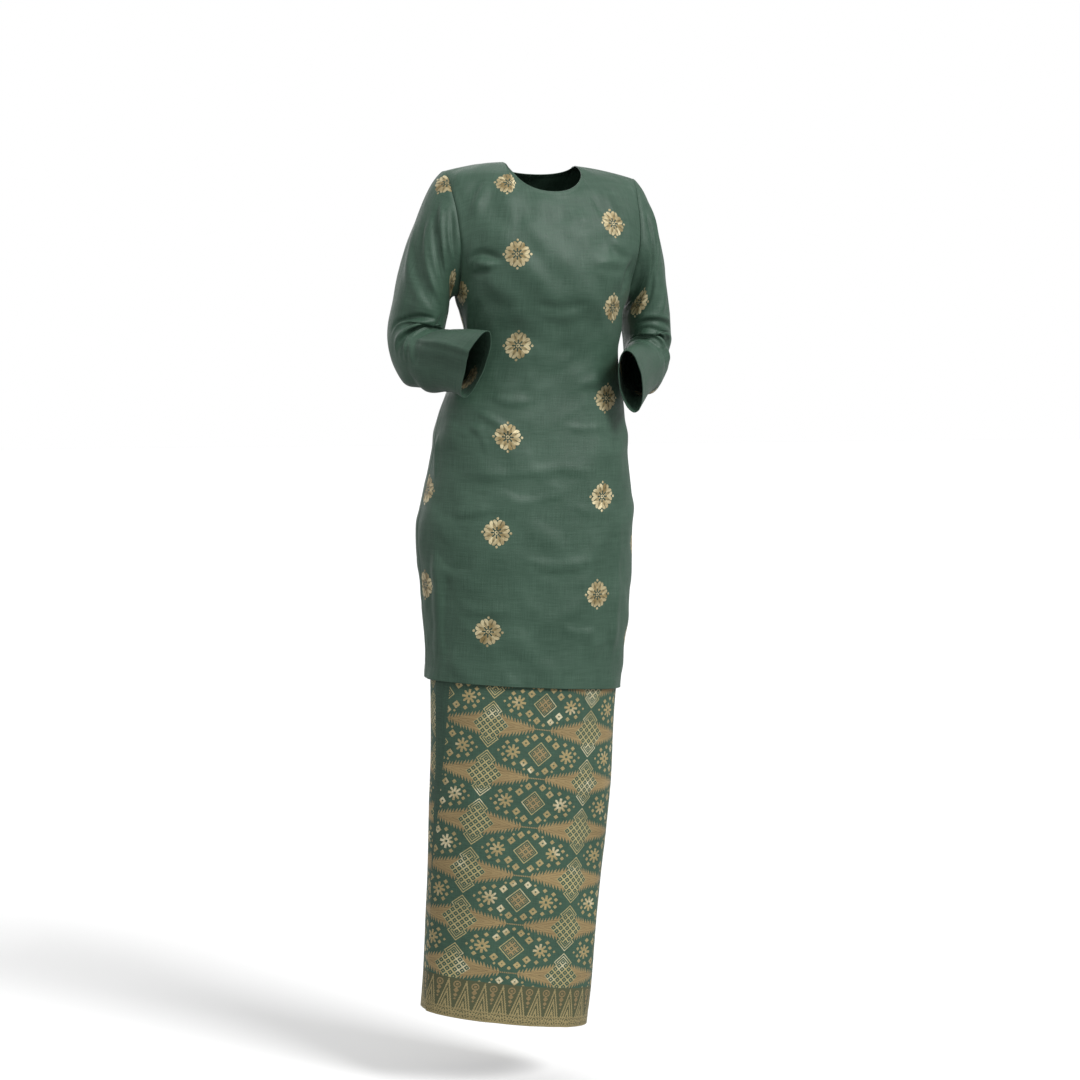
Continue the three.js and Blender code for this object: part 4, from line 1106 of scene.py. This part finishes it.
def songket_cloth(name):
    """The chart of the weave, counted in threads from the middle of a gold lozenge."""
    material, start, across, up = new_cloth(name)
    column = (across - LOZENGE_START - up * LOZENGE_LEAN) / (COLUMN_WIDE - up * COLUMN_NARROWS)
    u = (column * CHART_WIDE).floor() + 0.5
    v = ((up - ROW_START) * THREADS_A_METRE).floor() + 0.5
    a, b = u.folded(CHART_WIDE), v.folded(CHART_HIGH)

    # Gold lozenge with nested lines and toothed edges, and the thin bridge between two tips
    edge = LOZENGE_HIGH - a * (LOZENGE_HIGH / LOZENGE_WIDE)
    tooth = abs((a + b * TOOTH_LEAN) % TOOTH_STEP - TOOTH_STEP / 2)
    teeth = (tooth < (edge + TOOTH_HIGH - b) * TOOTH_SLIM).both(a < LOZENGE_WIDE)
    body = b < edge
    lines = ((edge - b) % LINE_STEP < LINE_WIDE).both(body)
    bridge = (b < BRIDGE_HIGH).both(a > LOZENGE_WIDE - 2).both(a % BRIDGE_STEP < BRIDGE_DASH)
    lozenge = any_of([body, teeth, bridge])
    # Lattice of small diamonds on its middle, and nested ones above and below that reach the next row
    s = a + b
    mesh = s.folded(LATTICE_STEP).either(abs(a - b).folded(LATTICE_STEP))
    crown = a + abs(b - CROWN_UP)
    lattice = s < LATTICE_WIDE
    in_crown = (crown < CROWN_WIDE).both(s > LATTICE_WIDE)
    nested = ((crown - 1) % CROWN_STEP > CROWN_LINE).both(in_crown)
    outline = (mesh > LATTICE_LINE).both(lattice).either(nested)
    centre = (mesh < LATTICE_DOT).both(lattice)
    # The green field between the lozenges: a lattice diamond, small squares, stars and crumbs
    e, f = CHART_WIDE / 2 - a, CHART_HIGH / 2 - b

    def away(x, y):
        return abs(e - x) + abs(f - y)

    t = e + f
    eye = t.folded(EYE_STEP).either(abs(e - f).folded(EYE_STEP))
    inside = (t < EYE_WIDE).both((eye > EYE_LINE).either(eye < EYE_DOT))
    rim = t.between(*EYE_RIM)
    squares = any_of(away(x, y).between(hole, size) for x, y, hole, size in SQUARES)
    crumbs = any_of(away(x, y) < size for x, y, size in CRUMBS)
    star_across = abs(e - STAR_ACROSS)
    long, short = star_across.either(f), star_across.both(f)
    arms = (short < ARM_SLIM).both(long.between(*ARM_SPAN))
    star = arms.either((long - short < SLANT_SLIM).both(long.between(*SLANT_SPAN)))
    # Border: tall spires of nested lines on a crossed base, with a bud and crumbs between each two
    hem = (up * THREADS_A_METRE).floor() + 0.5
    w = u.folded(SPIRE_STEP)
    spire = (BORDER_HIGH - hem) * (SPIRE_WIDE / (BORDER_HIGH - SPIRE_FOOT)) - w
    in_spire = spire > 0
    bud_across, bud_up = w - SPIRE_STEP / 2, hem - BUD_UP
    bud = start.math("SQRT", bud_across * bud_across + bud_up * bud_up)
    buds = (bud < BUD_RADIUS).both((bud > BUD_RING).either(bud < BUD_HEART))
    buds = any_of([buds] + [abs(bud_across) + abs(hem - level) < size for level, size in BUD_CRUMBS])
    zigzag = (u.folded(FOOT_STEP) + hem) % ZIGZAG_STEP < FOOT_LINE
    foot = (hem < FOOT_HIGH).both(zigzag).either(hem < HEM_LINE)
    spire_lines = (spire % SPIRE_LINE < SPIRE_LINE / 2).both(in_spire)
    border_gold = any_of([spire_lines, buds * (1 - in_spire), foot])
    # The plain margin beside the folded edge
    woven = across > (up - MARGIN_FROM) * MARGIN_GROWS
    on_border = hem < BORDER_HIGH
    above = 1 - on_border
    fine = any_of([outline, centre, rim, squares, star, crumbs])
    plain_gold = lozenge * (1 - lattice.either(in_crown))
    gold = (on_border * border_gold + above * any_of([plain_gold, fine, inside])) * woven
    bright = (on_border * in_spire.either(foot) * 0.6 + above * outline.either(rim)) * woven
    can_carry_painted_glint = above * any_of([outline, centre, squares, star, rim]) * woven
    # Painted glints: the metal thread is painted pale cream in patches, and all of it turns a little
    # from row to row
    patch = start.noise(PATCH_SCALE, across, up, 2.0)
    painted_glint_speck = start.speck((u / 2).floor(), (v / 3).floor())
    painted_glint_patches = start.math("MULTIPLY", (patch - 0.53) * 7, 1.0, clamp=True)
    painted_glint = painted_glint_patches * can_carry_painted_glint * (painted_glint_speck * 0.7 + 0.3)
    weft = start.noise(WEFT_SCALE, across, up)
    warp = start.noise(CROSS_SCALE, across, up)
    cloud = start.noise(TONE_SCALE, across, up, 3.0)
    row = start.speck(v, 3.0)
    tone = 0.45 + (weft - 0.5) * 1.1 + (warp - 0.5) * 0.9 + (cloud - 0.5) * 0.5 + woven * 0.16
    ground = start.tint(tone, SONGKET_DEEP, SONGKET_GROUND)
    ground = start.tint(on_border * woven * 0.9, ground, SONGKET_OLIVE)
    metal = start.tint(bright.either(above * fine * 0.45), SONGKET_TAN, SONGKET_GOLD)
    light = 0.7 + row * 0.3 + (cloud - 0.5) * 0.5 - lines * plain_gold * 0.22 + warp * 0.16
    metal = start.lit(start.lit(metal, light), 1 - on_border * 0.16)
    metal = start.tint(painted_glint, metal, SONGKET_PAINTED_GLINT)
    colour = start.tint(gold, ground, metal)
    threads = across.wave(SONGKET_THREAD) * up.wave(SONGKET_THREAD)
    height = threads * 0.4 + gold * 0.8 + weft * 0.4
    finish_cloth(start, colour, 0.6 - gold * 0.16, gold * 0.3, height, SONGKET_BUMP, SONGKET_SHEEN)
    return material


# Creases of the skirt: across is measured from the folded edge, down from the waist.
skirt_creases = [
    ([(60, 560), (70, 760), (58, 980)], 24, 2.6),
    ([(150, 620), (146, 800), (156, 1020)], 26, -2.9),
    ([(230, 540), (246, 740), (236, 960)], 22, 2.9),
    ([(310, 580), (318, 800), (304, 1030)], 20, 3.1),
    ([(400, 520), (392, 760), (408, 1000)], 24, -2.9),
    ([(500, 500), (512, 720), (496, 960)], 26, 3.1),
    ([(590, 560), (584, 780), (600, 1020)], 24, 2.9),
    ([(690, 520), (700, 760), (684, 980)], 24, -2.6),
    ([(780, 560), (776, 800), (790, 1010)], 20, 2.3),
]


SKIRT_RIPPLES = [(60, 3.0, 0.5), (20, 2.0, 0.12)]
SKIRT_SEED = 61
CALM_BY_EDGE, CALM_BY_WAIST, CALM_ON_LAP = 40, 120, 0.4
TUNIC_FADE = 90
WRAP_THICK, WRAP_THICKER = 0.9, 0.6
EDGE_TURNED = 8
WRAP_STITCH_WIDE = 3


def wrap_skirt():
    """Builds the wrap from its folded edge round to the end that lies under it."""
    turns = edged(np.linspace(0, 1 + SKIRT_LAP, SKIRT_COLUMNS))
    drops = edged(np.linspace(SKIRT_TOP, SKIRT_HEM, SKIRT_ROWS))
    under = LAP_STEP * smooth((turns - LAP_EASE_FROM) / (1 - LAP_EASE_FROM))
    grid_turns, grid_drops = np.broadcast_arrays(turns[None, :], drops[:, None])
    points = skirt_point(grid_turns, grid_drops, -under[None, :])
    normals = outward(points, 1)
    u, level = run_along(points, 1), run_along(points, 0)
    to_hem = level[-1] - level
    to_edge = np.minimum(u, u[:, -1:] - u)
    single = np.minimum(1, np.minimum(turns, 1 + SKIRT_LAP - turns) / SKIRT_LAP)
    rise = worn(u, level, skirt_creases, SKIRT_RIPPLES, SKIRT_SEED)
    rise = rise * smooth(to_edge / CALM_BY_EDGE) * smooth(level / CALM_BY_WAIST)
    rise = rise * smooth((single - CALM_ON_LAP) / (1 - CALM_ON_LAP))
    in_tunic = 1 - smooth((grid_drops - UNDER_TUNIC) / TUNIC_FADE)
    rise = mix(rise, np.minimum(rise, 0), in_tunic)
    rise = rise - HEM_STITCH_DEEP * hump(to_hem - HEM_TURNED, WRAP_STITCH_WIDE)
    points = points + normals * rise[..., None]
    turned = turned_in(to_hem, HEM_TURNED) + turned_in(u, EDGE_TURNED)
    thickness = WRAP_THICK * (1 + WRAP_THICKER * np.minimum(1, turned))
    quads = grid_quads(*u.shape)
    places = np.stack([u, to_hem], -1).reshape(-1, 2)[quads]
    free = np.ones(u.size, bool)
    return cloth_shell("songket_wrap", points, normals, quads, places, thickness, free)


skirt = wrap_skirt()
skirt.data.materials.append(songket_cloth("songket"))
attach(skirt, "root")
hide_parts("skirt_wrap")

# Waistband
# A plain band of green cotton folded over the top edge of the wrap, which the tunic covers. It is
# sewn on with one row of stitches, and it holds the wrap closed.
BAND_RISE = 6.0
BAND_HIGH = 32.0
BAND_STAND = 2.4
BAND_THICK = 1.3
BAND_GATHERS = (0.25, 0.2, 0.05, 1)
BAND_STITCH_AT, BAND_STITCH_DEEP, BAND_STITCH_WIDE = 3, 0.4, 1.5
band_top = SKIRT_TOP - BAND_RISE
band_turns = np.linspace(0, 1, 220, endpoint=False)
band_drops = edged(np.linspace(band_top, band_top + BAND_HIGH, 12))
band_grid = np.broadcast_arrays(band_turns[None, :], band_drops[:, None])
band_points = skirt_point(*band_grid, BAND_STAND)
band_normals = outward(band_points, 1, closed=True)
band_u = run_along(np.concatenate([band_points, band_points[:, :1]], axis=1), 1)
band_v = run_along(band_points, 0)
band_rise = gathers(band_u[:, :-1], 0, *BAND_GATHERS)
band_rise = band_rise - BAND_STITCH_DEEP * hump(band_v - BAND_STITCH_AT, BAND_STITCH_WIDE)
waistband = cloth_shell(
    "waistband", band_points + band_normals * band_rise[..., None], band_normals,
    grid_quads(*band_v.shape, closed=True), corner_places(band_u, band_v),
    np.full(band_v.size, BAND_THICK), np.ones(band_v.size, bool),
)
waistband.data.materials.append(plain_green)
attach(waistband, "root")
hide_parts("skirt_waistband")

# Floor
# A wide pale floor below the hem. It is the studio's and no part of the set, and it throws no
# light up on the cloth.
FLOOR_Z = -1.539
FLOOR_REACH = 30
FLOOR_WHITE = (0.95, 0.95, 0.95, 1)
floor_mesh = bpy.data.meshes.new("floor")
floor_corners = [
    (x * FLOOR_REACH, y * FLOOR_REACH, FLOOR_Z) for x, y in ((-1, -1), (1, -1), (1, 1), (-1, 1))
]
floor_mesh.from_pydata(floor_corners, [], [(0, 1, 2, 3)])
floor = bpy.data.objects.new("floor", floor_mesh)
bpy.context.scene.collection.objects.link(floor)
floor_paint = bpy.data.materials.new("floor_paint")
floor_paint.use_nodes = True
floor_shader = floor_paint.node_tree.nodes["Principled BSDF"]
floor_shader.inputs["Base Color"].default_value = FLOOR_WHITE
floor_shader.inputs["Roughness"].default_value = 0.9
floor_shader.inputs["Specular IOR Level"].default_value = 0.0
floor_mesh.materials.append(floor_paint)
floor.visible_diffuse = False
floor.visible_glossy = False

# Light and camera
# Soft studio light from all round, stronger from above, and three broad lamps: the key from the
# front and above, a weak fill from the other side, and one from behind. The backdrop looks white.
BACKDROP_WHITE = 1.0
SOFT_LIGHT = 0.66
LEVEL_LIGHT, UPPER_LIGHT = 0.72, 0.28
world = bpy.data.worlds.new("studio")
world.use_nodes = True
studio = Wire(world.node_tree)
seen = studio.node("ShaderNodeLightPath", {}, {}, "Is Camera Ray")
white = world.node_tree.nodes["Background"]
white.inputs["Color"].default_value = (1, 1, 1, 1)
direction = studio.node("ShaderNodeTexCoord", {}, {}, "Generated")
upwards = studio.node("ShaderNodeSeparateXYZ", {}, {0: direction}, 2)
soft_light = SOFT_LIGHT * (LEVEL_LIGHT + UPPER_LIGHT * upwards)
strength = soft_light + seen * (BACKDROP_WHITE - soft_light)
world.node_tree.links.new(strength.socket, white.inputs["Strength"])
bpy.context.scene.world = world
bpy.context.scene.view_settings.view_transform = "Standard"


def soft_sun(name, towards, spread, strength):
    """A broad lamp far away, that shines towards a direction from a patch so many degrees wide."""
    lamp = bpy.data.lights.new(name, "SUN")
    lamp.angle = math.radians(spread)
    lamp.energy = strength
    lamp_object = bpy.data.objects.new(name, lamp)
    lamp_object.rotation_euler = Vector(towards).to_track_quat("-Z", "Y").to_euler()
    bpy.context.scene.collection.objects.link(lamp_object)


soft_sun("key", (-0.4, 0.68, -0.6), 22, 2.35)
soft_sun("fill", (0.75, 0.5, -0.35), 50, 0.2)
soft_sun("back", (0.2, -0.8, -0.55), 60, 0.8)

VIEW_TURN = math.radians(16)
VIEW_PITCH = math.radians(3.93)
VIEW_DISTANCE = 4.6
VIEW_HEIGHT = -0.308
FOCAL_PIXELS = 2754
PHOTO_PIXELS = 1080
SENSOR_WIDE = 36
camera_data = bpy.data.cameras.new("camera")
camera_data.sensor_width = SENSOR_WIDE
camera_data.lens = FOCAL_PIXELS / PHOTO_PIXELS * SENSOR_WIDE
camera = bpy.data.objects.new("camera", camera_data)
aim = Vector((
    math.sin(VIEW_TURN) * math.cos(VIEW_PITCH),
    math.cos(VIEW_TURN) * math.cos(VIEW_PITCH),
    -math.sin(VIEW_PITCH),
))
camera.location = (
    -math.sin(VIEW_TURN) * VIEW_DISTANCE,
    -math.cos(VIEW_TURN) * VIEW_DISTANCE,
    VIEW_HEIGHT,
)
camera.rotation_euler = aim.to_track_quat("-Z", "Y").to_euler()
bpy.context.scene.collection.objects.link(camera)
bpy.context.scene.camera = camera
